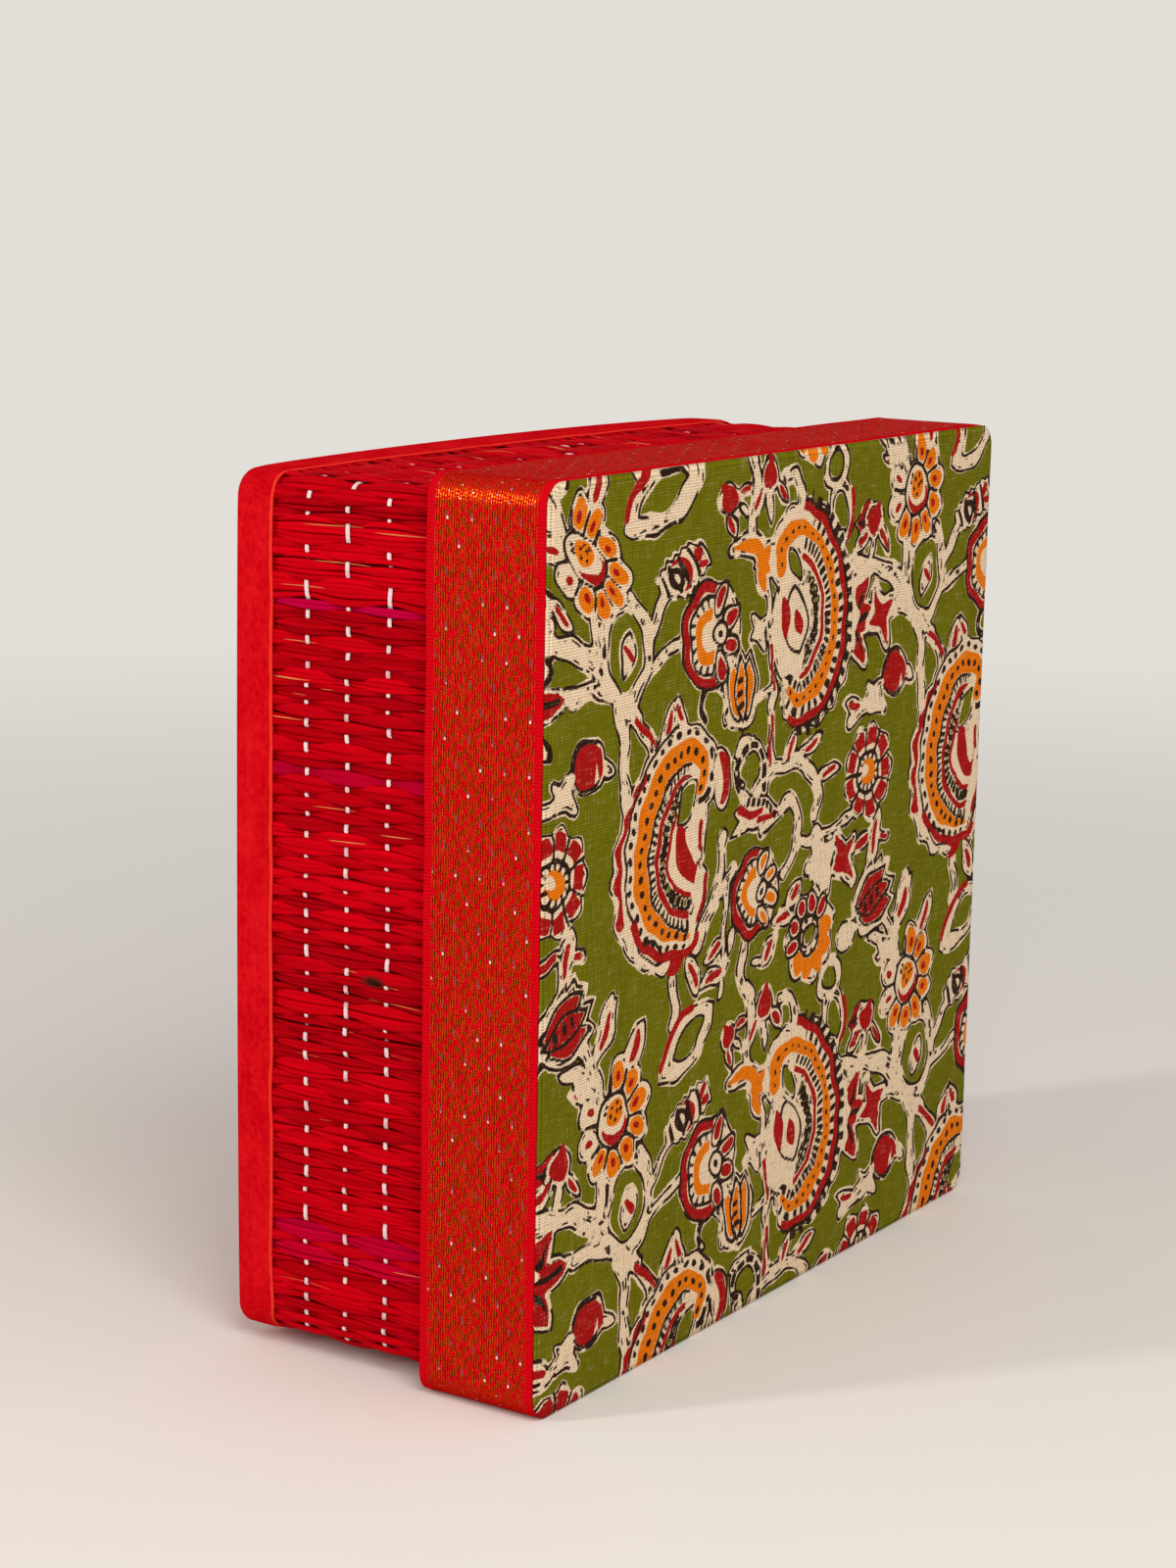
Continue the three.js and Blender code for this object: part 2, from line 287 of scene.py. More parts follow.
def eased(share):
    """Smooth step from 0 to 1: three times the square less twice the cube."""
    return share * share * (3 - 2 * share)


def ring_turns(straight, bend):
    """Turns round the box, 0 to 4, with so many steps along each side and round each corner."""
    along = np.linspace(0, STRAIGHT, straight, endpoint=False)
    corner = np.linspace(STRAIGHT, 1, bend, endpoint=False)
    return (np.arange(4)[:, None] + np.concatenate([along, corner])).ravel()


def headed(out, up, side):
    """A point of the right side, given outwards and along it, turned by quarters to another side."""
    heading = side * QUARTER
    return out * np.cos(heading) - up * np.sin(heading), out * np.sin(heading) + up * np.cos(heading)


def square_at(turn, half, radius):
    """A square with round corners: the whole part of turn names the side, the straight share of the rest runs
    along it, and what is left swings a quarter circle round the corner."""
    side = np.floor(turn)
    part = turn - side
    core = half - radius
    swing = np.clip((part - STRAIGHT) / (1 - STRAIGHT), 0, 1) * QUARTER
    out = core + radius * np.cos(swing)
    up = core * (2 * np.clip(part / STRAIGHT, 0, 1) - 1) + radius * np.sin(swing)
    return headed(out, up, side)


def wall_at(run, half, radius):
    """The same square by the length run along it: straight sides, then quarter circles.
    Gives the point and the direction out of the wall."""
    core = half - radius
    straight = 2 * core
    side = np.floor(run / (straight + radius * QUARTER))
    part = run - side * (straight + radius * QUARTER)
    swing = np.clip((part - straight) / radius, 0, QUARTER)
    out = core + radius * np.cos(swing)
    up = np.clip(part, 0, straight) - core + radius * np.sin(swing)
    x, y = headed(out, up, side)
    return x, y, np.cos(swing + side * QUARTER), np.sin(swing + side * QUARTER)


def path_length(half, radius):
    """Length once round a square with round corners."""
    return 8 * (half - radius) + 4 * QUARTER * radius


def swell(turn, level):
    """How far a wall of the base stands out of square: half a sine wave along each side, flattened at its
    crest. Part of it grows from the lid's rim downwards, the rest is a lip at the bottom edge."""
    side = np.floor(turn).astype(int) % 4
    part = np.clip((turn - np.floor(turn)) / STRAIGHT, 0, 1)
    wall = np.clip((levels_of("lid_ribbon")[0] - level) / SWELL_GROWTH, 0, 1)
    lip = np.clip((LIP_TOP - level) / LIP_DEPTH, 0, 1)
    fade = (1 - LIP_SHARE) * eased(wall) + LIP_SHARE * eased(lip)
    return SWELL[side] * np.sin(math.pi * part) ** 0.6 * fade


def ripple(rng, turns, waves, terms):
    """Slow unevenness round a ring: a sum of sines with whole numbers of waves, random sizes and phases;
    about -1 to 1."""
    count = rng.integers(waves[0], waves[1], terms)
    size = rng.uniform(0.4, 1, terms)
    phase = rng.uniform(0, WHOLE, terms)
    waved = size * np.sin(WHOLE * count * turns[..., None] / 4 + phase)
    return waved.sum(-1) / size.sum() * 2


def wrinkles(rng, u, v, signed):
    """Faint wrinkles of glued cloth: six sines of random slopes and phases along u and v, or, signed, with
    their way along u thrown at random."""
    slope = (0.02, 0.09) if signed else (0.03, 0.12)
    total = 0
    for _ in range(6):
        along_u = rng.uniform(*slope) * u
        if signed:
            along_u = along_u * rng.choice([-1, 1])
        along_v = rng.uniform(slope[0] if signed else -slope[1], slope[1]) * v
        total = total + np.sin(along_u + along_v + rng.uniform(0, 6.3))
    return total


def beyond_core(u, v, core):
    """How far points of a square grid lie past the square between the corners' middles, along each axis and
    in all."""
    past_u, past_v = (np.clip(np.abs(axis) - core, 0, None) for axis in (u, v))
    return past_u, past_v, np.hypot(past_u, past_v)


def grid_faces(rows, columns, ring_rows=False, ring_columns=False):
    """Four-cornered faces over a grid of points; a ring closes on itself.
    Also gives each corner's row and column before it closes, for a UV map with no jump at the seam."""
    row_steps = np.arange(rows if ring_rows else rows - 1)
    column_steps = np.arange(columns if ring_columns else columns - 1)
    r, c = np.meshgrid(row_steps, column_steps, indexing="ij")
    corner_row = np.stack([r, r, r + 1, r + 1], -1).reshape(-1, 4)
    corner_column = np.stack([c, c + 1, c + 1, c], -1).reshape(-1, 4)
    return corner_row % rows * columns + corner_column % columns, corner_row, corner_column


def make_piece(
    name, points, faces, finish, body, stands_for=(), point_uv=None, corner_uv=None, values=None
):
    """One named mesh from its points in metres and its faces, arrays of one width each, set on a body."""
    sizes = np.concatenate([np.full(len(part), part.shape[1]) for part in faces])
    corners = np.concatenate([part.ravel() for part in faces])
    mesh = bpy.data.meshes.new(name)
    mesh.vertices.add(len(points))
    mesh.vertices.foreach_set("co", np.ascontiguousarray(points, np.float32).ravel())
    mesh.loops.add(len(corners))
    mesh.loops.foreach_set("vertex_index", corners.astype(np.int32))
    mesh.polygons.add(len(sizes))
    mesh.polygons.foreach_set("loop_start", (np.cumsum(sizes) - sizes).astype(np.int32))
    mesh.polygons.foreach_set("use_smooth", np.ones(len(sizes), bool))
    if point_uv is not None:
        corner_uv = point_uv[corners]
    if corner_uv is not None:
        flat = np.ascontiguousarray(corner_uv, np.float32).ravel()
        mesh.uv_layers.new(name="UVMap").data.foreach_set("uv", flat)
    for key, value in (values or {}).items():
        kept = mesh.attributes.new(key, "FLOAT", "POINT")
        kept.data.foreach_set("value", np.ascontiguousarray(value, np.float32))
    mesh.update(calc_edges=True)
    if mesh.validate():
        raise RuntimeError(f"{name}: its faces don't make a sound mesh")
    mesh.materials.append(finish)
    piece = bpy.data.objects.new(name, mesh)
    bpy.context.scene.collection.objects.link(piece)
    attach(piece, body)
    if stands_for:
        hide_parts(*stands_for)
    return piece


def swept_band(name, turns, half, level, radius, finish, body, stands_for):
    """A closed band: every point of a closed profile, given by its half-width and level, runs round its own
    square. Arrays are turns by profile points. UV runs across the profile and along the band, in
    millimetres."""
    x, y = square_at(turns[:, None], half, radius)
    rows, columns = half.shape
    faces, corner_row, corner_column = grid_faces(rows, columns, True, True)
    shut = np.arange(columns + 1) % columns
    across = np.hypot(np.diff(half.mean(0)[shut]), np.diff(level.mean(0)[shut]))
    u = np.concatenate([[0], np.cumsum(across)])
    v = np.concatenate([turns, [4]]) / 4 * path_length(half.mean(), radius.mean())
    uv = np.stack([u[corner_column], v[corner_row]], -1)
    return make_piece(name, place(x, y, level), [faces], finish, body, (stands_for,), corner_uv=uv)


def doubled(line_half, line_level, thickness):
    """Closed profile round a line of points: the line moved out by half the thickness, then the line moved
    in, backwards. With half-widths to the right and levels upwards, out is to the left of the way that the
    line runs."""
    along_half, along_level = np.gradient(line_half), np.gradient(line_level)
    size = np.hypot(along_half, along_level)
    reach_half = -along_level / size * (thickness / 2)
    reach_level = along_half / size * (thickness / 2)
    return (
        np.concatenate([line_half + reach_half, (line_half - reach_half)[::-1]]),
        np.concatenate([line_level + reach_level, (line_level - reach_level)[::-1]]),
    )


# Finishes


class Number:
    """A number on a shader socket; arithmetic on it adds Math nodes."""

    def __init__(self, finish, socket):
        self.finish, self.socket = finish, socket

    def math(self, operation, *others):
        """Adds one Math node."""
        return self.finish.node("ShaderNodeMath", {"operation": operation}, dict(enumerate((self, *others))))

    def __add__(self, other):
        return self.math("ADD", other)

    __radd__ = __add__

    def __mul__(self, other):
        return self.math("MULTIPLY", other)

    __rmul__ = __mul__

    def __sub__(self, other):
        return self.math("SUBTRACT", other)

    def __rsub__(self, other):
        return self.math("MULTIPLY_ADD", -1.0, other)

    def __truediv__(self, other):
        return self.math("DIVIDE", other)

    def __rtruediv__(self, other):
        return self.math("POWER", -1.0) * other

    def __neg__(self):
        return self * -1.0

    def __abs__(self):
        return self.math("ABSOLUTE")

    def wave(self):
        """Sine, 0 to 1, of a number of turns."""
        return (self * WHOLE).math("SINE") * 0.5 + 0.5

    def most(self, other):
        """The larger of two numbers."""
        return self.math("MAXIMUM", other)

    def folded(self, pitch, shift=0.0):
        """Distance from the nearest of evenly spaced lines, one at shift."""
        return abs((self - shift + pitch / 2).math("FLOORED_MODULO", pitch) - pitch / 2)

    def ramp(self, low, high):
        """Smooth step from 0 at low to 1 at high; it falls where low is above high."""
        if low > high:
            return 1 - self.ramp(high, low)
        sockets = {0: self, 1: low, 2: high, 3: 0.0, 4: 1.0}
        return self.finish.node("ShaderNodeMapRange", {"interpolation_type": "SMOOTHSTEP"}, sockets)


class Nodes:
    """A tree of shader nodes."""

    def __init__(self, tree):
        self.tree = tree

    def node(self, kind, settings=None, sockets=None, out=0):
        """Adds a node: its type, its settings, which are set first, and the values or links of its
        sockets."""
        made = self.tree.nodes.new(kind)
        for key, value in (settings or {}).items():
            setattr(made, key, value)
        for key, value in (sockets or {}).items():
            self.join(made.inputs[key], value)
        return Number(self, made.outputs[out])

    def join(self, socket, value):
        """Links a socket to a node's number or colour, or sets it to a plain value."""
        if isinstance(value, Number):
            self.tree.links.new(value.socket, socket)
        elif hasattr(socket.default_value, "__len__"):
            wanted = len(socket.default_value)
            socket.default_value = (tuple(value) + (1.0,))[:wanted]
        else:
            socket.default_value = value

    def seen(self):
        """1 for what the camera sees straight, mirrored or through glass, and 0 for what only gives light."""
        kinds = ("Camera", "Glossy", "Transmission")
        rays = [self.node("ShaderNodeLightPath", {}, {}, f"Is {kind} Ray") for kind in kinds]
        return rays[0].most(rays[1]).most(rays[2])

    def show(self, output, surface):
        """Links what a tree shows to its output node."""
        self.join(self.tree.nodes[output].inputs["Surface"], surface)


class Finish(Nodes):
    """One material and the nodes that feed its shader."""

    def __init__(self, name, **constants):
        self.material = bpy.data.materials.new(name)
        self.material.use_nodes = True
        super().__init__(self.material.node_tree)
        self.shader = self.tree.nodes["Principled BSDF"]
        for socket, value in constants.items():
            self.feed(socket.replace("_", " "), value)

    def feed(self, socket, value):
        """Sets or links one socket of the shader."""
        self.join(self.shader.inputs[socket], value)

    def blend(self, factor, first, second):
        """Mixes two colours."""
        return self.node("ShaderNodeMix", {"data_type": "RGBA"}, {0: factor, 6: first, 7: second}, 2)

    def noise(self, place_at, scale, detail=2.0, roughness=0.5):
        """Noise, 0 to 1, of a vector."""
        return self.node(
            "ShaderNodeTexNoise", {}, {
                "Vector": place_at, "Scale": scale, "Detail": detail, "Roughness": roughness
            }
        )

    def vector(self, x, y):
        """A vector from two numbers."""
        return self.node("ShaderNodeCombineXYZ", {}, {0: x, 1: y})

    def uv(self):
        """The piece's own UV map in millimetres: across, along."""
        at = self.node("ShaderNodeUVMap", {"uv_map": "UVMap"})
        return (self.node("ShaderNodeSeparateXYZ", {}, {0: at}, axis) for axis in (0, 1))

    def spot(self):
        """Object coordinates in metres."""
        return self.node("ShaderNodeTexCoord", {}, {}, "Object")

    def value(self, name):
        """A number kept on the piece's points."""
        return self.node("ShaderNodeAttribute", {"attribute_name": name}, {}, "Fac")

    def bump(self, height, distance, strength=1.0):
        """Feeds a relief, in metres for a height of 1, to the shader's normal."""
        self.feed(
            "Normal", self.node(
                "ShaderNodeBump", {}, {"Strength": strength, "Distance": distance, "Height": height}
            )
        )


def grass_finish(grass):
    """Dyed grass: streaks along each strip, a shade of its own per strip, bare straw and painted shade where
    strips meet.
    """
    f = Finish("dyed_grass", Specular_IOR_Level=0.01)
    across, along = f.uv()
    fine = f.noise(f.vector(across * 10.0, along * 0.14), 1.0, 3.0, 0.6)
    broad = f.noise(f.vector(across * 1.6, along * 0.05), 1.0, 2.0)
    tone = f.value("tone")
    edge = f.value("edge")
    streak = (fine * 0.75 + broad * 0.5 + tone * 0.55).ramp(0.45, 1.25)
    dyed = f.blend(streak, grass.deep, grass.bright)
    dyed = f.blend(f.value("odd"), dyed, grass.magenta)
    bare = f.value("straw") * (fine * 1.4).ramp(0.35, 0.75)
    dyed = f.blend(bare, dyed, grass.straw)
    # Painted shade: darker towards each strand's sides and underside, where it meets its neighbours
    dyed = f.blend(edge.ramp(0.0, 1.0) * 0.34, dyed, grass.shade)
    dyed = f.blend(f.value("husk"), dyed, grass.husk)
    f.feed("Base Color", dyed)
    f.feed("Roughness", 0.42 + fine * 0.26)
    f.bump(fine, 0.00012, 0.7)
    return f.material


def warp_finish(warp):
    """Cotton warp: pale, stained here and there by the dye, with the twist of its plies."""
    f = Finish("cotton_warp", Roughness=0.8, Specular_IOR_Level=0.25)
    around, along = f.uv()
    stain = f.noise(f.vector(around * 0.5, along * 0.35), 1.0, 2.0)
    f.feed("Base Color", f.blend(stain.ramp(0.45, 0.8) * 0.8, warp.cotton, warp.stain))
    f.bump((along / 0.9 + around * 0.32).wave(), 0.00009, 0.8)
    return f.material


def tape_finish(tape):
    """Cotton tape: plain weave with painted shade in its hollows, soft mottling, and a lighter woven edge
    that is partly a painted highlight.
    """
    f = Finish("red_tape", Specular_IOR_Level=0.0)
    across, along = f.uv()
    cloud = f.noise(f.vector(across * 0.16, along * 0.09), 1.0, 4.0, 0.6)
    warp = (across / (tape.warp / MM)).wave()
    weft = (along / (tape.weft / MM)).wave()
    woven = weft * warp
    mottle = f.noise(f.vector(across * 0.9, along * 0.7), 1.0, 3.0, 0.6)
    cloth = f.blend((cloud * 0.6 + mottle * 0.6).ramp(0.4, 0.8), tape.cloth, tape.worn)
    # Painted shade in the hollows between the threads
    cloth = f.blend((1 - woven) * 0.2, cloth, tape.hollow)
    # The lighter woven edge: partly the tape's own colour, partly a painted highlight along its edge
    rim = across + f.noise(f.vector(0.0, along * 0.3), 1.0) * 0.4
    cloth = f.blend(rim.ramp(0.85, 0.55) * 0.75, cloth, tape.selvedge)
    f.feed("Base Color", cloth)
    f.feed("Roughness", 0.68 + cloud * 0.2)
    f.bump(woven + cloud * 0.8, 0.00006, 0.8)
    return f.material


def brocade_finish(ribbon):
    """Brocade: fine gold yarns along the ribbon, with painted shade in their hollows and a painted highlight
    on their crests, ragged red floats that cover most of them on a close checkerboard, grey dashes painted as
    silver that reflects no light, with a painted glint at one end of some, on a wider one, and ribbed red
    edges."""
    f = Finish("gold_brocade", Specular_IOR_Level=0.0, Specular_Tint=(0.8, 0.04, 0.0))
    across, along = f.uv()
    column, repeat = ribbon.column / MM, ribbon.repeat / MM
    yarn = (across / (ribbon.yarn / MM)).wave()
    pick = (along / (ribbon.pick / MM) + (across / (ribbon.yarn / MM)).math("FLOOR") * 0.5).wave()
    gold = yarn * (0.4 + pick * 0.6)
    # shade: painted shade in the hollows between the yarns; shine: a painted highlight on their crests
    body = f.blend(
        gold.ramp(0.12, 0.65), ribbon.shade, f.blend(gold.ramp(0.7, 1.0) * 0.55, ribbon.gold, ribbon.shine)
    )
    checks = ((across / column).wave() * 2 - 1) * ((along / (repeat / 2)).wave() * 2 - 1)
    grain = f.noise(f.vector(across * 2.5, along * 0.65), 1.0, 4.0, 0.7)
    red = (checks * 0.12 + grain * 1.6).ramp(0.7, 0.86)

    def marks(shift, wide, tall):
        """Marks on a checkerboard of columns and rows, moved along by a shift: 1 within so far of every
        crossing."""
        full, long = wide * 0.5, tall * 0.6
        first = across.folded(2 * column).ramp(wide, full) * along.folded(2 * repeat, shift).ramp(tall, long)
        second = across.folded(2 * column, column).ramp(wide, full)
        return first.most(second * along.folded(2 * repeat, repeat + shift).ramp(tall, long))

    dash = marks(0.0, 0.26, 0.72)
    # Painted glint: a white spot at one end of some dashes, where a noise says light catches them
    lit = f.noise(f.vector(across * 0.5, along * 0.3), 1.0, 1.0).ramp(0.5, 0.62)
    glint = marks(0.36, 0.22, 0.28) * lit
    knots = f.noise(f.vector(across * 3.6, along * 4.4), 1.0, 2.0, 0.6)
    floats = f.blend(knots.ramp(0.66, 0.4), ribbon.red, ribbon.deep_red)
    body = f.blend(red, body, floats)
    # Painted reflection: the silver dashes painted grey, as metal looks where it mirrors no light
    body = f.blend(dash * 0.85, body, ribbon.unlit_silver)
    body = f.blend(glint, body, ribbon.silver_glint)
    rib = (along / (ribbon.rib / MM)).wave()
    low, high = levels_of("lid_ribbon")
    ends, starts = ribbon.edge / MM, high - low - ribbon.edge / MM
    edge = across.ramp(ends + 0.1, ends - 0.6).most(across.ramp(starts - 0.5, starts))
    edging = f.blend(0.3 + rib * 0.3 + knots.ramp(0.55, 0.35) * 0.4, ribbon.red, ribbon.edge_red)
    f.feed("Base Color", f.blend(edge, body, edging))
    metal = (1 - edge) * ((1 - red * 0.8) * gold.ramp(0.04, 0.36)).most(glint * 0.6)
    f.feed("Metallic", metal)
    f.feed("Roughness", 0.54 - metal * (0.12 + knots * 0.3))
    relief = (gold * 0.6 + red * 0.6 + dash * 0.5) * (1 - edge) + rib * edge
    f.bump(relief, 0.00014, 0.1)
    return f.material


def lining_finish(lining):
    """Cotton lining: fine plain weave with slubs."""
    f = Finish("red_lining", Roughness=0.86, Specular_IOR_Level=0.2)
    across, along = f.uv()
    thread = lining.thread / MM
    woven = (across / thread).wave() * (along / thread).wave()
    slub = f.noise(f.vector(across * 0.08, along * 1.6), 1.0, 3.0)
    f.feed("Base Color", f.blend(woven * 0.25 + slub.ramp(0.4, 0.8) * 0.35, lining.cotton, lining.hollow))
    f.bump(woven + slub, 0.00007, 0.7)
    return f.material


def card_finish(name, board):
    """Board: pressed fibres and specks."""
    f = Finish(name, Roughness=0.9, Specular_IOR_Level=0.2)
    spot = f.spot()
    fibre = f.noise(spot, 900.0, 4.0, 0.65)
    speck = f.noise(spot, 2400.0, 1.0).ramp(0.66, 0.74)
    f.feed("Base Color", f.blend(fibre.ramp(0.35, 0.7) * 0.5 + speck * 0.4, board, darker(board, 0.55)))
    f.bump(fibre, 0.00008, 0.5)
    return f.material


def print_finish(cloth):
    """Block print: each ink lies where its distance from the cut block is below nothing, with a slightly bled
    edge. Thin lines follow the outlines of the blocks; the plain weave shows through everything, with painted
    shade in the hollows between its threads."""
    f = Finish("printed_cotton", Roughness=0.85, Specular_IOR_Level=0.04)
    across, along = f.uv()
    at = f.vector(across, along)
    bleed = (f.noise(at, 0.9, 3.0, 0.6) - 0.5) * 0.55
    gaps = f.noise(at, 0.22, 2.0)
    wear = f.noise(at, 0.06, 3.0)
    thread = cloth.thread / MM
    weft = (along / thread + bleed * 0.2).wave()
    warp = (across / thread + bleed * 0.2).wave()
    hole = (1 - weft) * (1 - warp)

    def ink(name, spread=0.0):
        """1 where an ink lies, drawn in by a spread."""
        return (f.value(name) + bleed - spread).ramp(0.1, -0.1)

    def line(name, offset, half_wide):
        """A line that keeps its distance from a block's outline."""
        return abs(f.value(name) + bleed * 0.6 - offset).ramp(half_wide + 0.07, half_wide - 0.07)

    painted = f.blend(wear.ramp(0.3, 0.75) * 0.4, cloth.ground, darker(cloth.ground, 0.72))
    painted = f.blend(ink("halo"), painted, cloth.cream)
    stray = (f.noise(at, 0.11, 1.0) - 0.5) * 2.2
    outline = line("halo", stray - 0.45, 0.32) * gaps.ramp(0.38, 0.44)
    strokes = line("halo", stray - 1.35, 0.22) * f.noise(at, 0.4, 1.0).ramp(0.55, 0.6)
    painted = f.blend(outline.most(strokes), painted, cloth.line)
    painted = f.blend(ink("orange", -0.06), painted, cloth.orange)
    painted = f.blend(ink("red", 0.22), painted, cloth.red)
    dark = (f.value("black") + bleed * 0.5).ramp(0.43, 0.25)
    painted = f.blend(dark, painted, cloth.line)
    slub = f.noise(f.vector(across * 2.2, along * 0.24), 1.0)
    slub = slub + f.noise(f.vector(across * 0.24, along * 2.2), 1.0)
    # Painted shade in the hollows between the threads, plus darker slubs of thread
    painted = f.blend(hole * 0.7 + slub.ramp(0.98, 1.4) * 0.3, painted, cloth.hollow)
    painted = f.blend(slub.ramp(0.96, 0.6) * 0.12, painted, cloth.cream)
    f.feed("Base Color", painted)
    f.bump(-hole, 0.00008, 0.8)
    return f.material


def floor_finish(stage):
    """Pale floor: lit near the box, where it keeps the shadow, and shown in its own even colour far away."""
    f = Finish("pale_floor", Roughness=0.7, Specular_IOR_Level=0.1)
    spot = f.spot()
    cloud = f.noise(spot, 3.0, 3.0)
    lit = tuple(min(1.0, c * 1.14) for c in stage.floor)
    f.feed("Base Color", f.blend(cloud * 0.3, lit, darker(lit, 0.94)))
    far = f.node("ShaderNodeVectorMath", {"operation": "LENGTH"}, {0: spot}, "Value").ramp(0.12, 0.9)
    even = f.node("ShaderNodeEmission", {}, {"Color": stage.floor, "Strength": 1.0})
    mixed = f.node("ShaderNodeMixShader", {}, {0: far * f.seen(), 1: Number(f, f.shader.outputs[0]), 2: even})
    f.show("Material Output", mixed)
    return f.material


# Woven grass

# Section of a strand, in half-widths across and thicknesses outwards, and the points round a warp
SECTION_ACROSS = np.array([-1, -0.55, 0, 0.55, 1, 0])
SECTION_OUT = np.array([0, 0.8, 1, 0.8, 0, -0.5])
WARP_POINTS = 6
# Steps along a warp for each pick, and rows along a loose fibre
STITCH_STEPS = 6
FIBRE_ROWS = 12
# Strips of another shade: height up the left wall and strength of the shade
ODD_STRIPS = ((138.8, 0.95), (25.0, 0.45), (21.0, 0.35))
# Fleck of husk on the left wall: how far below the wall's middle, its level, and its half-length
FLECK_DROP = 6.1
FLECK_LEVEL = 31.0
FLECK_REACH = 2.6
FLOOR_WARPS = 16

Strands = namedtuple("Strands", "across along rise half tone straw odd")


class Weave:
    """Where the strips and the warps of one mat lie, in millimetres on the mat laid flat. A pick is what
    passes between two warps' crossings: a bundle of one to six strands. At each warp every second pick is
    pressed down and drawn narrow by a stitch, and its neighbours swell between the stitches, half a wave
    apart."""

    def __init__(self, rng, grass, run, first_warp, warp_pitch):
        self.rng, self.first_warp, self.warp_pitch = rng, first_warp, warp_pitch
        self.thickness, self.height = grass.strip_thickness / MM, grass.weave_height / MM
        count = 2 * round(run / (grass.strip_width / MM) / 2)
        widths = np.exp(rng.normal(0, 0.36, count))
        self.widths = widths * run / widths.sum()
        self.middles = np.cumsum(self.widths) - self.widths / 2
        self.parity = np.arange(count) % 2
        self.odd = (rng.random(count) < 0.006) * 0.35

    def pinch(self, pick, along):
        """1 where a stitch holds the pick down and 0 at the warps between: a cosine of two warp pitches."""
        turn = (along - self.first_warp) / self.warp_pitch + self.parity[pick]
        return (0.5 + 0.5 * np.cos(math.pi * turn)) ** 1.25

    def rise(self, pick, along):
        """How far a pick's middle stands out of the mat's own middle."""
        return self.height * (0.44 - self.pinch(pick, along))

    def strands(self, along):
        """Strands over the rows of along, one to six side by side in each pick."""
        rng = self.rng
        count = np.clip(np.rint(self.widths / 0.8 + rng.normal(0, 0.4, len(self.widths))), 1, 6).astype(int)
        pick = np.repeat(np.arange(len(count)), count)
        slot = np.arange(len(pick)) - np.repeat(np.cumsum(count) - count, count)
        share = (slot + 0.5) / count[pick] - 0.5 + rng.normal(0, 0.05, len(pick))
        squeeze = 1.13 - 0.34 * self.pinch(pick[:, None], along)
        sway = rng.uniform(0.02, 0.12, len(pick))[:, None]
        wave = rng.uniform(14, 40, len(pick))[:, None]
        swayed = sway * np.sin(WHOLE * along / wave + rng.uniform(0, 6.3, len(pick))[:, None])
        across = self.middles[pick][:, None] + (share * self.widths[pick])[:, None] * squeeze + swayed
        half = (self.widths[pick] / count[pick] * rng.uniform(0.62, 0.9, len(pick)))[:, None] * squeeze
        lift = rng.normal(0, 0.05, len(pick)) - 0.16 * np.abs(share)
        rise = self.rise(pick[:, None], along) + lift[:, None]
        odd = self.odd[pick] * rng.uniform(0.7, 1.0, len(pick))
        tone = 0.6 * rng.random(len(self.widths))[pick] + 0.4 * rng.random(len(pick))
        return Strands(across, along + 0 * across, rise, half, tone, 0 * tone, odd)

    def fibres(self, count, low, high, rows):
        """Loose bare fibres that lie on the picks, thin to nothing at both ends."""
        rng = self.rng
        pick = rng.integers(0, len(self.widths), count)
        reach = rng.uniform(4, 13, count)
        start = rng.uniform(low, high - reach)
        part = np.linspace(0, 1, rows)
        along = start[:, None] + reach[:, None] * part
        lean = rng.normal(0, 0.16, count)[:, None] * (part - 0.5)
        across = (self.middles[pick] + self.widths[pick] * rng.uniform(-0.35, 0.35, count))[:, None] + lean
        half = rng.uniform(0.05, 0.15, count)[:, None] * np.sin(math.pi * (0.04 + 0.92 * part)) ** 0.7
        rise = self.rise(pick[:, None], along) + self.thickness * 0.62
        tone = rng.random(count)
        return Strands(across, along, rise, half, tone, rng.uniform(0.55, 1.0, count), np.zeros(count))

    def stitched(self, warp_number, height, steps):
        """One warp along the mat: it lies on every second pick and dives under the next.
        Gives the run along the mat and how far out of the mat's middle it lies, a few steps for each pick."""
        part = (np.arange(steps) + 0.5) / steps
        run = (self.middles - self.widths / 2)[:, None] + self.widths[:, None] * part
        over = (self.parity + warp_number) % 2 == 0
        top = self.height * -0.56 + self.thickness * 0.95 + height / 2
        under = self.height * 0.44 - self.thickness * 0.5 - height / 2 - 0.08
        arch = 1 - np.abs(2 * part - 1) ** 3.2
        return run.ravel(), (under + np.where(over[:, None], (top - under) * arch, 0)).ravel()


def strand_tubes(across, along, rise, half, thickness):
    """Flattened strands, arrays of strands by rows: a lens-shaped section of six points carried along each
    strand. Gives across, along and out for each point, faces that point outwards, and the faces that close
    both ends."""
    thin = np.minimum(thickness, half * 1.6)
    across_at = across[..., None] + half[..., None] * SECTION_ACROSS
    out = rise[..., None] + thin[..., None] * SECTION_OUT
    strands, rows, ring = across_at.shape
    base = np.arange(strands)[:, None] * rows * ring
    quads = (base[..., None] + grid_faces(rows, ring, False, True)[0]).reshape(-1, 4)
    start = base + np.arange(ring)[::-1]
    end = base + (rows - 1) * ring + np.arange(ring)
    return across_at, along[..., None] + 0 * across_at, out, quads, np.concatenate([start, end])


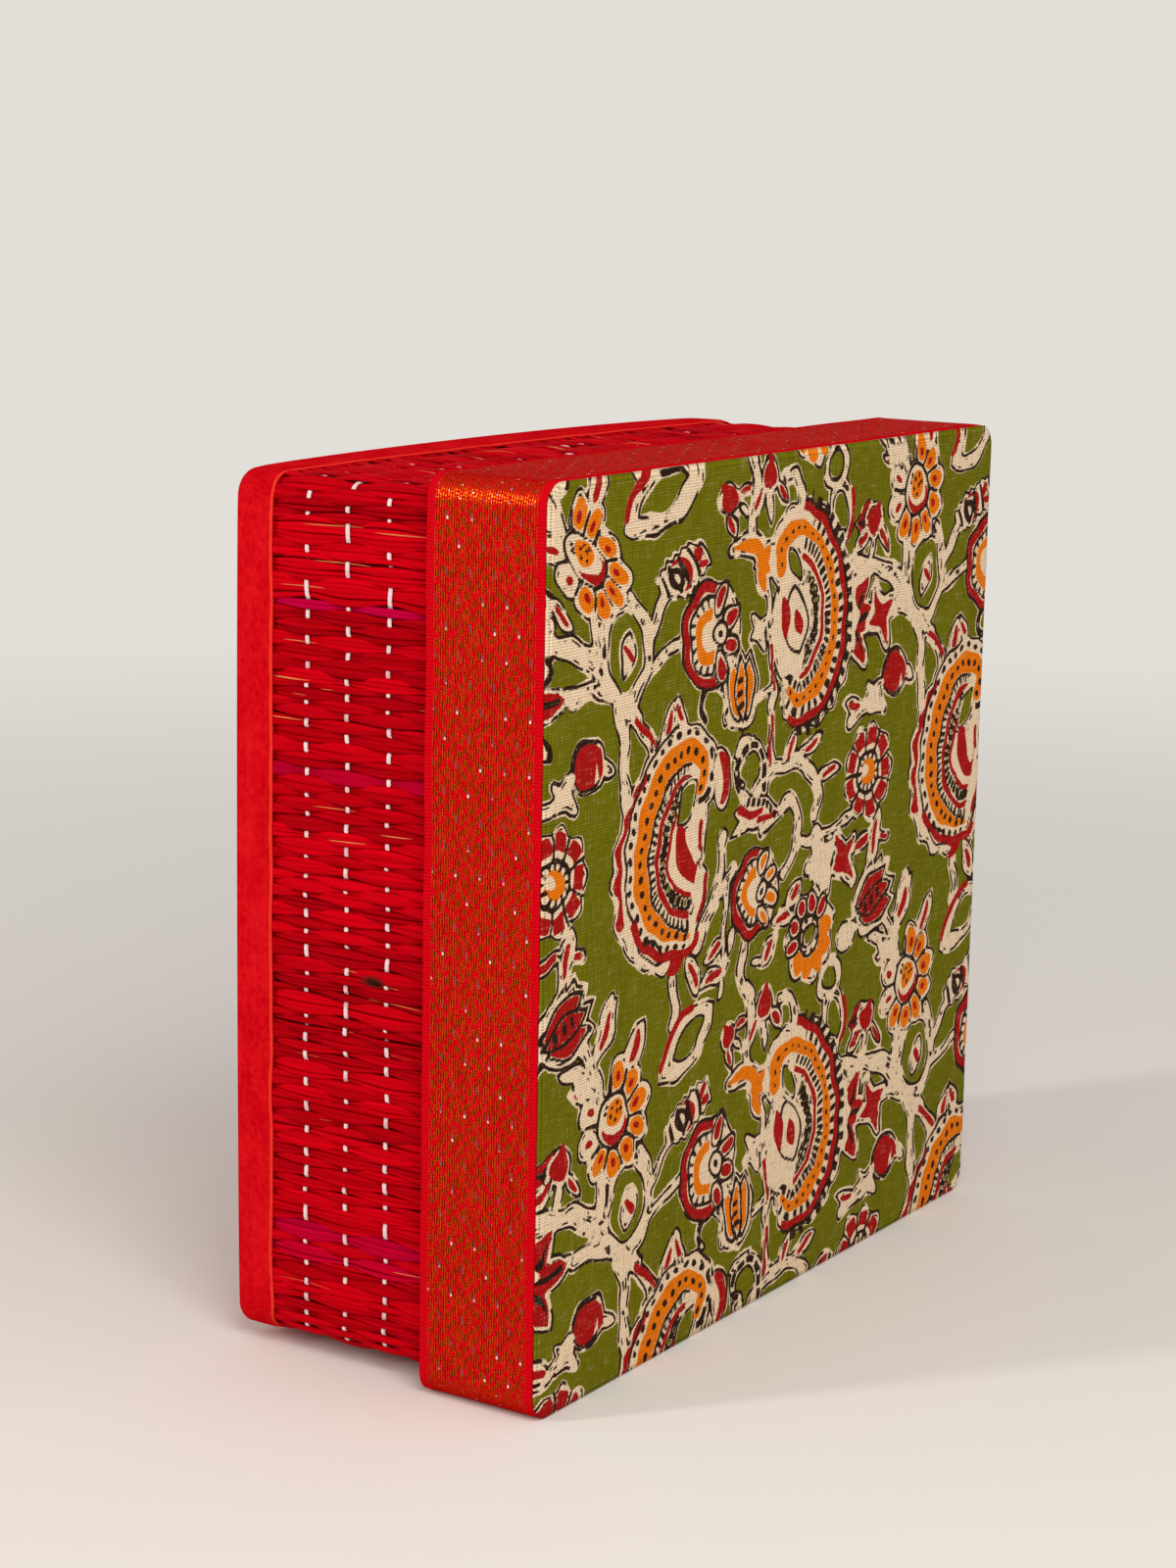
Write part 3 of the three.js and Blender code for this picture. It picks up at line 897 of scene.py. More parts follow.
def mat_piece(name, sets, thickness, onto, husk_at, finish, stands_for):
    """One piece of a mat from sets of strands, each laid on its wall or floor by onto(across, along, out)."""
    points, quads, caps, uv, tone, straw, odd, edge, husk = [], [], [], [], [], [], [], [], []
    offset = 0
    for across, along, rise, half, shade, bare, other in sets:
        across_at, along_at, out, faces, ends = strand_tubes(across, along, rise, half, thickness)
        points.append(onto(across_at, along_at, out))
        quads.append(faces + offset)
        caps.append(ends + offset)
        offset += across_at.size
        beside = across_at - across[..., None] + shade[:, None, None] * 97
        uv.append(np.stack([beside, along_at], -1).reshape(-1, 2))
        tone.append(np.broadcast_to(shade[:, None, None], across_at.shape).ravel())
        straw.append(np.broadcast_to(bare[:, None, None], across_at.shape).ravel())
        odd.append(np.broadcast_to(other[:, None, None], across_at.shape).ravel())
        # edge: 1 on a strand's sides and underside, 0 on its crown; the grass finish paints shade there
        edge.append(np.broadcast_to(1 - SECTION_OUT.clip(0, 1), across_at.shape).ravel())
        husk.append(husk_at(across_at, along_at).ravel())
    values = {"tone": tone, "straw": straw, "odd": odd, "edge": edge, "husk": husk}
    return make_piece(
        name,
        np.concatenate(points),
        [np.concatenate(quads), np.concatenate(caps)],
        finish,
        "base",
        stands_for,
        point_uv=np.concatenate(uv),
        values={key: np.concatenate(value) for key, value in values.items()},
    )


def warp_tube(name, points_at, run, out, along, warp, closed, finish, stands_for):
    """One warp: an oval section of six points carried along the run, laid on its wall or floor by
    points_at."""
    bearing = np.arange(WARP_POINTS) * (WHOLE / WARP_POINTS)
    side, lift = np.cos(bearing) * warp.width / MM / 2, np.sin(bearing) * warp.height / MM / 2
    points = points_at(run[:, None] + 0 * side, along[:, None] + side, out[:, None] + lift)
    faces, corner_row, corner_column = grid_faces(len(run), WARP_POINTS, closed, True)
    sections = [faces]
    around = corner_column / WARP_POINTS * 3.0
    onward = np.append(run, 2 * run[-1] - run[-2])[corner_row]
    uv = [np.stack([around, onward], -1).reshape(-1, 2)]
    if not closed:
        first = np.arange(WARP_POINTS)
        sections.append(np.stack([first[::-1], (len(run) - 1) * WARP_POINTS + first]))
        uv.append(np.zeros((2 * WARP_POINTS, 2)))
    return make_piece(
        name, points, sections, finish, "base", stands_for, corner_uv=np.concatenate(uv)
    )


# Block print

# One repeat of the print to the right and up
STEP_RIGHT = np.array([111.3, 2.8])
STEP_UP = np.array([-3.6, 101.1])
# Pull of the cloth at the lid's upper left corner, waver of the cut edges, farthest distance kept
CORNER_PULL = 12
WAVER = 0.22
FAR = 9.0


def turned(u, v, x, y, turn):
    """Own axes of a shape at (x, y), turned by so many degrees."""
    c, s = math.cos(math.radians(turn)), math.sin(math.radians(turn))
    return (u - x) * c + (v - y) * s, (v - y) * c - (u - x) * s


def oval(u, v, x, y, long, wide, turn=0.0):
    """Distance from an oval, given by its half-lengths; exact on its outline and close to it."""
    a, b = turned(u, v, x, y, turn)
    k = np.hypot(a / long, b / wide)
    slope = np.hypot(a / long**2, b / wide**2)
    return np.where(k > 1e-6, k * (k - 1) / np.maximum(slope, 1e-6), -min(long, wide))


def leaf(u, v, x, y, long, wide, turn=0.0):
    """Distance from a leaf with two points: where two circles overlap."""
    a, b = turned(u, v, x, y, turn)
    radius = (long**2 + wide**2) / (2 * wide)
    return np.hypot(a, np.abs(b) + radius - wide) - radius


def smooth(points, steps=6):
    """A rounded line through its points: a cubic between each two that leaves along the line of their
    neighbours."""
    p = np.asarray(points, float)
    p = np.vstack([2 * p[0] - p[1], p, 2 * p[-1] - p[-2]])
    t = np.linspace(0, 1, steps, endpoint=False)[None, :, None]
    a, b, c, d = p[:-3, None], p[1:-2, None], p[2:-1, None], p[3:, None]
    curve = b + 0.5 * t * (c - a + t * (2 * a - 5 * b + 4 * c - d + t * (3 * (b - c) + d - a)))
    return np.vstack([curve.reshape(-1, 2), p[-2]])


def trail(u, v, points, steps=6):
    """Distance from a rounded line, the run along it as a length and as a share, and the side, 1 on its
    left."""
    p = smooth(points, steps) if steps else np.asarray(points, float)
    start, step = p[:-1, :, None], np.diff(p, axis=0)[:, :, None]
    size = np.hypot(step[:, 0], step[:, 1])
    du, dv = u - start[:, 0], v - start[:, 1]
    part = np.clip((du * step[:, 0] + dv * step[:, 1]) / size**2, 0, 1)
    away = np.hypot(du - part * step[:, 0], dv - part * step[:, 1])
    near = away.argmin(0)
    at = near, np.arange(len(u))
    side = np.sign(step[near, 0, 0] * dv[at] - step[near, 1, 0] * du[at])
    size = size[:, 0]
    run = (np.cumsum(size) - size)[near] + part[at] * size[near]
    return away[at], run, run / size.sum(), side


def cut(u, v, points):
    """Distance from a closed outline, below nothing inside: a point is inside where a line from it crosses an
    odd number of edges."""
    p = np.asarray(points, float)
    away = trail(u, v, np.vstack([p, p[:1]]), 0)[0]
    x0, y0 = p[:, 0, None], p[:, 1, None]
    x1, y1 = np.roll(p, -1, 0)[:, 0, None], np.roll(p, -1, 0)[:, 1, None]
    rise = np.where(y1 == y0, 1e-9, y1 - y0)
    crossed = ((y0 > v) != (y1 > v)) & (u < x0 + (v - y0) * (x1 - x0) / rise)
    return np.where(crossed.sum(0) % 2 == 1, -away, away)


def fold(run, pitch, shift=0.0):
    """Distance from the nearest of evenly spaced places."""
    return np.abs((run - shift + pitch / 2) % pitch - pitch / 2)


def both(*shapes):
    """Where all the shapes lie."""
    return np.maximum.reduce(shapes)


def any_of(*shapes):
    """Where any of the shapes lies."""
    return np.minimum.reduce(shapes)


def polar(u, v):
    """Distance from the middle and bearing in degrees."""
    return np.hypot(u, v), np.degrees(np.arctan2(v, u))


def around(far, bearing):
    """The place so far from the middle on a bearing in degrees."""
    return far * math.cos(math.radians(bearing)), far * math.sin(math.radians(bearing))


def spokes(radius, bearing, pitch, shift=0.0):
    """Distance from the nearest of spokes, so many degrees apart."""
    return np.radians(fold(bearing, pitch, shift)) * radius


class Blocks:
    """The inks of the cloth as distances from their blocks at every point, below nothing where an ink lies.
    The cloth is pulled aside at one corner, and sines make the cut edges waver."""

    def __init__(self, x, y):
        pull = np.clip((y - 130) / 25, 0, 1) ** 2 * np.clip((62 - x) / 35, 0, 1)
        waver_x = np.sin(0.83 * y + 0.31 * x) + np.sin(0.47 * y - 0.59 * x + 1.3)
        waver_y = np.sin(0.77 * x - 0.29 * y + 0.7) + np.sin(0.43 * x + 0.61 * y + 2.1)
        self.x = x + CORNER_PULL * pull + WAVER * waver_x
        self.y = y + WAVER * waver_y
        self.fields = {name: np.full(x.shape, FAR) for name in ("halo", "orange", "red", "black")}

    def press(self, motif, at, turn=0.0, size=1.0, flip=1, reach=14.0, repeats=(-2, -1, 0, 1, 2), **style):
        """Presses one motif on every repeat of the cloth; it is drawn in its own millimetres, turned, sized,
        flipped."""
        c, s = math.cos(math.radians(turn)), math.sin(math.radians(turn))
        for right in repeats:
            for up in (-2, -1, 0, 1, 2):
                x, y = np.asarray(at) + right * STEP_RIGHT + up * STEP_UP
                near = np.flatnonzero(np.maximum(np.abs(self.x - x), np.abs(self.y - y)) < reach * size)
                if len(near):
                    du, dv = (self.x[near] - x) / size, (self.y[near] - y) / size
                    u, v = du * c + dv * s, dv * c - du * s
                    motif(Press(self.fields, near, size), u * flip, v, **style)


class Press:
    """One press of one motif on the points near it."""

    def __init__(self, fields, near, size):
        self.fields, self.near, self.size = fields, near, size

    def put(self, shape, on, off):
        """Lays a shape's inks on and cuts it out of others: the smaller distance, or the larger one turned
        round."""
        shape = np.clip(shape * self.size, -FAR, FAR)
        for name in on:
            self.fields[name][self.near] = np.minimum(self.fields[name][self.near], shape)
        for name in off:
            self.fields[name][self.near] = np.maximum(self.fields[name][self.near], -shape)

    def cream(self, shape):
        """Bare cotton, which the olive ground and the other inks leave free."""
        self.put(shape, ("halo",), ("orange", "red", "black"))

    def olive(self, shape):
        """The ground's block over everything."""
        self.put(shape, (), ("halo", "orange", "red", "black"))

    def bare(self, shape):
        """No ink on what is cream already."""
        self.put(shape, (), ("orange", "red", "black"))

    def orange(self, shape):
        self.put(shape, ("orange",), ("red", "black"))

    def red(self, shape):
        self.put(shape, ("red",), ("orange", "black"))

    def black(self, shape):
        self.put(shape, ("black",), ())


def daisy(press, u, v):
    """Flower with a dotted heart and a ring of broad petals with dark marks; two petals are left cream."""
    radius = np.hypot(u, v)
    places = [80, 46, 12, -22, -56, -90, -124, -160, 160]
    for turn in places:
        x, y = around(8.0, turn)
        press.cream(oval(u, v, x, y, 4.4, 3.5, turn))
    press.cream(radius - 6.2)
    for turn in places:
        x, y = around(1, turn)
        press.black(trail(u, v, [around(5.0, turn + 17), around(9.0, turn + 17)], 0)[0] - 0.05)
        if -140 < turn < 150:
            press.orange(oval(u, v, 8.2 * x, 8.2 * y, 2.6, 2.0, turn))
            press.red(oval(u, v, 7.7 * x, 7.7 * y, 0.8, 0.5, turn))
        else:
            press.red(oval(u, v, 8.1 * x, 8.1 * y, 1.1, 0.5, turn))
    press.black(np.abs(radius - 5.0) - 0.06)
    press.bare(radius - 4.6)
    press.red(both(oval(u, v, 0.4, -1.0, 4.1, 3.5, -25), -oval(u, v, -0.2, 0.4, 4.2, 3.4, -25)))
    press.orange(oval(u, v, 0.3, 1.1, 3.1, 2.5, 40))
    for x, y in (
        (-0.6, 2.2), (1.2, 2.9), (2.3, 1.7), (0.9, 1.2), (-1.3, 0.5), (0.2, -0.5), (-2.8, 1.6), (-2.0, 2.9)
    ):
        press.black(np.hypot(u - x, v - y) - 0.2)


# Middle line of each paisley's orange crescent
PAISLEY = [
    (10.4, 12.4), (11.4, 16.4), (8.0, 19.2), (2.9, 19.6), (-3.4, 16.2), (-8.1, 9),
    (-9.9, 1.5), (-8.4, -6), (-3.6, -11.4), (2.6, -14), (6.8, -14.4),
]
ARCH = [
    (9.8, 10.6), (9.2, 14.6), (5.2, 17), (-1.6, 15.8), (-8, 10.2),
    (-11.4, 1.4), (-10.4, -7.4), (-5.4, -13.6), (1.4, -15.8), (5.8, -13.6),
]


def paisley(press, u, v):
    """Paisley: a dotted orange crescent; inside it rows of comb, line and key pattern round a red leaf,
    outside it a row of dots, a line and a jagged red band."""
    away, run, share, side = trail(u, v, PAISLEY)
    body = cut(u, v, smooth(PAISLEY))
    gap = away - np.interp(share, [0, 0.1, 0.45, 0.8, 1], [1.6, 2.0, 2.65, 2.1, 0.6])
    inside, outside = np.where(side > 0, -5.0, 5.0), np.where(side > 0, 5.0, -5.0)
    jag = np.abs((run / 4.4) % 1 - 0.5) * 2
    rim = np.interp(share, [0, 0.25, 0.4, 0.55, 0.75, 0.9, 1], [2.6, 3.0, 4.4, 6.6, 7.4, 5.6, 2.4])
    rim = rim + 0.9 * jag
    middle = both(body + 0.5, inside)
    press.cream(any_of(body, gap) - np.where(side > 0, 1.2, rim))
    press.cream(
        cut(u, v, smooth([(6, 6), (10.6, 4.5), (10.4, 0), (13.6, -5), (11.2, -13), (6.5, -15), (4, -5)]))
    )
    press.cream(leaf(u, v, -5.6, -15.6, 6.4, 3.0, -24))
    press.black(np.abs(leaf(u, v, -5.6, -15.4, 4.8, 1.7, -24)) - 0.03)
    press.red(both(np.abs(gap - rim + 2.4) - 0.35 - 0.7 * jag, outside, 23 - run, run - 45))
    press.red(both(np.abs(gap - 2.6) - 0.75, outside, 46 - run))
    press.black(both(np.abs(gap - 2.5 - 0.3 * jag) - 0.03, outside, 14 - run, run - 46))
    press.black(both(np.hypot(fold(run, 2.3), gap - 1.15) - 0.33, outside))
    press.orange(gap)
    press.black(np.hypot(fold(run, 2.7), away) - 0.4)
    press.black(both(np.abs(gap - 0.35) - 0.02, middle, 9 - run))
    press.black(both(fold(run, 1.75) - 0.1, np.abs(gap - 1.2) - 0.8, middle, 11 - run))
    press.red(both(np.abs(gap - 3.0) - 0.42, middle, 7 - run))
    press.black(both(fold(run, 2.9) - 0.6, np.abs(gap - 4.9) - 0.55, middle, 14 - run))
    press.olive(both(fold(run, 2.9, 1.45) - 0.4, np.abs(gap - 5.0) - 0.7, middle, 14 - run))
    press.red(both(np.abs(gap - 6.7) - 0.34, middle, 14 - run))
    press.red(both(leaf(u, v, 5.9, 0.8, 6.2, 3.3, 118), -leaf(u, v, 7.6, 2.0, 4.8, 1.8, 112)))
    press.olive(leaf(u, v, 5.4, 10.2, 4.4, 2.1, 52))
    press.red(trail(u, v, [(10.2, 5.5), (10.6, 1)])[0] - 0.45)
    press.red(trail(u, v, [(12.6, -4.6), (11.9, -8), (10.3, -12.4)])[0] - 0.38)
    press.red(leaf(u, v, 2.6, -19.2, 3.4, 1.3, 24))


def scalloped_paisley(press, u, v):
    """Rounder paisley with a slim waist: ticks, a red band and a ticked scalloped border outside, rows of
    ticks, line and key pattern inside, round a drop with a red edge."""
    away, run, share, side = trail(u, v, ARCH)
    body = any_of(cut(u, v, smooth(ARCH)), oval(u, v, 3.0, -1.5, 8.6, 11.0))
    gap = away - np.interp(share, [0, 0.12, 0.3, 0.5, 0.8, 1], [2.1, 1.8, 1.4, 1.25, 2.1, 0.9])
    inside, outside = np.where(side > 0, -5.0, 5.0), np.where(side > 0, 5.0, -5.0)
    rim = np.interp(share, [0, 0.15, 0.35, 0.6, 0.85, 1], [2.0, 3.2, 6.2, 8.2, 5.6, 3.0])
    rim = rim + 0.5 * np.sin(run * (WHOLE / 4.0))
    middle = both(body + 0.5, inside)
    press.cream(any_of(body, gap) - np.where(side > 0, 1.2, rim))
    press.black(both(fold(run, 2.2) - 0.22, np.abs(gap - 0.9) - 0.6, outside, 16 - run))
    press.red(both(np.abs(gap - 2.8) - 0.8, outside, 12 - run, run - 60))
    press.black(both(fold(run, 2.2, 0.6) - 0.25, np.abs(gap - 4.6) - 0.9, outside, 14 - run, run - 58))
    press.black(both(np.abs(gap - 3.8) - 0.03, outside, 12 - run, run - 60))
    press.orange(gap)
    press.black(np.hypot(fold(run, 2.7), away + 0.3) - 0.4)
    press.black(both(fold(run, 1.8) - 0.22, np.abs(gap - 1.1) - 0.75, middle, 14 - run))
    press.red(both(np.abs(gap - 3.2) - 0.4, middle, 14 - run, run - 58))
    press.black(both(fold(run, 3.2) - 0.8, np.abs(gap - 6.0) - 0.6, middle, 20 - run, run - 56))
    press.olive(both(fold(run, 3.2, 1.6) - 0.45, np.abs(gap - 6.0) - 0.75, middle, 20 - run, run - 56))
    press.bare(leaf(u, v, 3.4, -0.4, 7.0, 4.6, 78))
    press.black(np.abs(leaf(u, v, 3.4, -0.4, 6.6, 4.2, 78)) - 0.04)
    press.red(leaf(u, v, 2.6, -0.6, 3.0, 1.2, 70))
    press.red(leaf(u, v, 7.6, 0.6, 4.4, 1.5, 80))
    press.olive(leaf(u, v, 4.4, 10.4, 3.6, 1.5, 58))


def medallion(press, u, v, right="red"):
    """Round flower seen from the side: a scalloped red arc, a ticked orange arc, a small eye and petals on
    the right."""
    radius, bearing = polar(u, v)
    bearing = bearing % 360
    lobes = 0.5 * np.abs(np.cos(np.radians(bearing * 3.5)))
    press.cream(radius - 10.2 - lobes)
    arc = np.abs(bearing - 185) - 105
    press.red(both(np.abs(radius - 8.6 - lobes) - 0.95, np.radians(arc) * 8))
    press.black(both(np.abs(radius - 9.6 - lobes) - 0.03, np.radians(arc) * 8))
    press.black(both(np.abs(radius - 7.2) - 0.03, np.radians(arc) * 7))
    press.orange(both(np.abs(radius - 4.3) - 1.15, np.radians(np.abs(bearing - 190) - 105) * 5))
    press.black(both(
        spokes(radius, bearing, 20) - 0.06,
        np.abs(radius - 6.3) - 0.5,
        np.radians(np.abs(bearing - 190) - 90) * 5,
    ))
    for turn in (62, 22, -18, -58):
        x, y = around(7.2, turn)
        press.cream(oval(u, v, x, y, 4.0, 2.6, turn))
        press.black(both(np.abs(oval(u, v, x, y, 3.3, 1.9, turn)) - 0.03, 0.6 - radius / 10))
        spot = oval(u, v, x * 1.05, y * 1.05, 2.1, 1.0, turn)
        (press.red if right == "red" else press.orange)(spot)
    eye = np.hypot(u - 3.2, v)
    press.bare(eye - 2.5)
    press.black(np.abs(eye - 2.2) - 0.08)
    press.black(eye - 0.4)


def shell_flower(press, u, v):
    """Flower with orange lobes below, red and cream petals above and a ringed eye."""
    radius, bearing = polar(u, v)
    press.cream(radius - 9.6 - 0.8 * np.cos(np.radians(bearing * 7)))
    for turn in (-150, -115, -80, -45, -10):
        x, y = around(6.4, turn)
        press.orange(oval(u, v, x, y, 2.6, 2.1, turn))
    for turn in (30, 65, 100, 135, 172):
        x, y = around(6.6, turn)
        press.black(np.abs(oval(u, v, x, y, 2.5, 2.0, turn)) - 0.05)
        press.red(oval(u, v, x, y, 1.6, 1.0, turn))
    press.bare(radius - 4.2)
    press.black(np.abs(radius - 3.9) - 0.06)
    press.olive(oval(u, v, 0, 0.4, 2.2, 1.4))
    press.black(both(spokes(radius, bearing, 45) - 0.05, np.abs(radius - 3.2) - 0.4))


def wheel(press, u, v):
    """Full flower with broad red petals round an orange heart."""
    radius, bearing = polar(u, v)
    press.cream(radius - 12.0 - 0.9 * np.cos(np.radians(bearing * 9)))
    press.black(both(spokes(radius, bearing, 40, 20) - 0.07, np.abs(radius - 8.0) - 3.0))
    press.red(both(spokes(radius, bearing, 40) - 2.1, np.abs(radius - 8.9) - 1.7))
    press.black(np.abs(radius - 5.2) - 0.08)
    press.orange(both(radius - 3.6, -np.hypot(u + 1.8, v - 0.4) + 1.6))
    press.black(both(spokes(radius, bearing, 30) - 0.05, np.abs(radius - 4.2) - 0.6))


def bud(press, u, v):
    """Round red bud, open at one side."""
    press.cream(any_of(oval(u, v, 0, 0, 6.0, 5.3), leaf(u, v, 5.5, -1.5, 4.0, 2.2, -30)))
    press.red(both(oval(u, v, -0.4, 0, 4.4, 3.9), -oval(u, v, 3.6, -1.2, 1.4, 4.2, -20)))
    press.red(both(oval(u, v, 0, 0, 4.6, 3.9), oval(u, v, 5.0, 0.2, 1.7, 4.0, -12)))
    press.black(both(np.abs(oval(u, v, -0.2, 0, 4.8, 4.3)) - 0.04, u - 2.5))


def sprig(press, u, v):
    """Small red bud between two leaves, each with a red stroke."""
    leaves = [leaf(u, v, -4.6, -3.6, 4.6, 2.2, 40), leaf(u, v, 4.2, -3.8, 4.4, 2.0, -55)]
    press.cream(any_of(oval(u, v, 0, 0, 3.9, 4.0), leaf(u, v, -0.4, -5.4, 4.2, 1.7, 84), *leaves))
    press.red(any_of(oval(u, v, 0, 0.1, 2.5, 2.4), leaf(u, v, 0.6, 1.8, 2.2, 1.0, 70)))
    for x, y, turn in ((-4.6, -3.4, 40), (4.3, -4.0, -55)):
        press.red(oval(u, v, x, y, 2.0, 0.5, turn))


def ladder_bud(press, u, v):
    """Long bud with rungs and red tips."""
    wide = np.interp(u, [-8, -2, 5, 8.5], [2.4, 4.2, 3.8, 2.6])
    press.cream(both(np.abs(v) - wide - 0.35 * np.cos(u * 2.4), np.abs(u) - 8.6))
    press.black(both(fold(u, 3.4, 0.6) - 0.22, np.abs(v) - wide + 1.3, np.abs(u) - 7))
    press.black(np.abs(np.hypot(u + 2.2, v) - 1.8) - 0.22)
    press.red(both(np.hypot(u + 0.6, v) - 2.9, -(np.hypot(u + 1.6, v) - 2.8)))
    press.red(oval(u, v, 5.6, 0.9, 1.8, 0.7, 25))
    press.red(oval(u, v, 6.0, -1.3, 1.5, 0.6, -15))


def loop_leaf(press, u, v):
    """Large leaf with an olive eye and a red line along its upper edge."""
    outline = leaf(u, v, 0, 0, 11.5, 6.0)
    press.cream(outline)
    press.olive(leaf(u, v, 0.8, 0, 5.6, 2.4))
    press.red(trail(u, v, [(-9.0, 1.8), (-5, 4.2), (0.5, 5.4), (5, 4.4)])[0] - 0.6)


def ringed_leaf(press, u, v):
    """Olive oval with a small cream leaf in it, between two stems."""
    ring = oval(u, v, 0, 0, 5.3, 6.8)
    press.cream(ring - 2.6)
    press.olive(ring)
    press.cream(leaf(u, v, 0.4, -0.6, 4.8, 3.0, 70))
    press.red(oval(u, v, 0.6, -0.5, 1.9, 0.6, -45))


def lily(press, u, v):
    """Pointed red flower with dark veins."""
    petals = [
        leaf(u, v, 1.6, 3.6, 5.6, 2.0, 50),
        leaf(u, v, 3.0, 0.2, 7.0, 2.3, 4),
        leaf(u, v, 1.4, -3.6, 5.6, 2.0, -54),
    ]
    press.cream(any_of(*petals) - 1.3)
    for petal, turn in zip(petals, (50, 4, -54)):
        press.red(petal)
        press.black(both(petal + 0.8, np.abs(turned(u, v, 0, 0, turn)[1]) - 0.3))


def tulip(press, u, v, ink="orange"):
    """Cup of three pointed petals."""
    parts = [
        leaf(u, v, -2.0, 0.4, 5.2, 2.0, 100),
        leaf(u, v, 2.2, 0.4, 5.2, 2.0, 80),
        leaf(u, v, 0.1, 0.8, 5.6, 1.8, 90),
    ]
    press.cream(any_of(*parts, oval(u, v, 0, -1.5, 4.0, 3.6)) - 1.5)
    for part in parts:
        press.bare(part)
        press.black(np.abs(part - 0.1) - 0.03)
        getattr(press, ink)(part + 0.45)
    press.black(both(fold(v, 2.1) - 0.25, np.abs(u) - 0.6, np.abs(v) - 3.2))


def small_leaf(press, u, v, long=5.2, wide=2.6, bar=True):
    """Single leaf with a red bar."""
    press.cream(leaf(u, v, 0, 0, long, wide))
    if bar:
        press.red(oval(u, v, 0.2, 0, long * 0.46, wide * 0.22, 6))


def torn_leaf(press, u, v):
    """Large leaf torn at one end, with red strokes and a row of ticks."""
    press.cream(any_of(
        leaf(u, v, 1.0, 0, 9.6, 3.8),
        leaf(u, v, -5.0, 2.6, 5.6, 1.7, -28),
        leaf(u, v, -4.6, -2.6, 5.6, 1.7, 30),
    ))
    press.red(trail(u, v, [(-6.5, 0.4), (-2.5, -0.5), (1.5, 0.2)])[0] - 0.5)
    press.red(trail(u, v, [(1.0, -1.6), (4.5, -1.0), (7.0, 0.4)])[0] - 0.42)
    press.black(both(fold(u, 1.7) - 0.25, np.abs(v - 2.0 + 0.04 * u * u) - 0.6, np.abs(u - 1.5) - 5.5))


def half_moon(press, u, v):
    """Leaf with a red crescent."""
    press.cream(oval(u, v, 0, 0, 3.7, 6.4))
    press.red(both(oval(u, v, 0.3, 0, 2.4, 5.0), -oval(u, v, -2.6, 0.4, 3.0, 6.5)))


def ragged_leaf(press, u, v, ink="red"):
    """Leaf torn into four uneven points."""
    turn, far = np.radians([100, 15, -75, 175]), np.array([5.2, 4.6, 5.4, 3.8])
    tips = np.stack([far * np.cos(turn), far * np.sin(turn)], -1)
    dents = np.stack([1.9 * np.cos(turn - 0.75), 1.9 * np.sin(turn - 0.75)], -1)
    torn = cut(u, v, np.stack([tips, dents], 1).reshape(-1, 2))
    press.cream(torn - 1.6)
    getattr(press, ink)(torn)


def feather(press, u, v):
    """Orange leaf on the end of a stem, with a ragged tip."""
    blade = trail(u, v, [(-8, 1.2), (-3.5, 2.8), (1.0, 1.6), (4.0, -1.5)])
    wide = np.interp(blade[2], [0, 0.4, 0.8, 1], [0.4, 1.4, 1.7, 0.6])
    halo = ((3.6, 1.0, 4.4, 1.9, 35), (3.2, -2.6, 4.4, 2.0, -65), (5.4, -0.8, 3.4, 1.7, -15))
    tips = ((3.6, 1.0, 4.0, 1.4, 35), (3.2, -2.6, 4.2, 1.5, -65), (5.4, -0.8, 3.2, 1.2, -15))
    press.cream(blade[0] - wide - 1.5)
    press.cream(any_of(*(leaf(u, v, *tip) for tip in halo)) - 0.9)
    press.orange(any_of(blade[0] - wide, *(leaf(u, v, *tip) for tip in tips)))


def dart(press, u, v):
    """Long red wedge on a stem."""
    wedge = cut(u, v, [(-1.1, 11), (1.0, 10), (0.7, -2), (1.2, -8), (0.1, -12), (-0.8, -6), (-0.4, 2)])
    press.cream(wedge - 1.5)
    press.red(wedge)


def tendril(press, u, v):
    """Curled end of a stem."""
    line = trail(u, v, [(6.0, -4.5), (5.4, 1.0), (1.5, 4.2), (-2.8, 2.8), (-4.0, -0.8), (-2.0, -3.0)])
    press.cream(line[0] - np.interp(line[2], [0, 0.7, 1], [1.9, 1.6, 1.2]))
    press.black(both(np.abs(line[0] - 0.2) - 0.2, fold(line[1], 3.4) - 1.0))


def double_loop(press, u, v):
    """Stem looped twice round the ground, with a red line along its right edge."""
    press.cream(any_of(oval(u, v, -1.2, 5.4, 5.4, 4.6, 30), oval(u, v, 0.8, -3.2, 5.4, 7.4, 8)))
    press.olive(oval(u, v, -1.4, 5.8, 2.6, 2.2, 30))
    press.olive(oval(u, v, 1.0, -3.4, 2.4, 4.2, 8))
    press.red(trail(u, v, [(5.2, 0.4), (5.8, -3.6), (4.2, -8.2)])[0] - 0.45)


def stem(press, u, v, points, wide, red):
    """Vine: a cream line of even width, with a red line along the middle of some."""
    line = trail(u, v, points)
    press.cream(line[0] - wide)
    if red:
        press.red(both(line[0] - 0.55, fold(line[2], 1.0, 0.5) - 0.38))


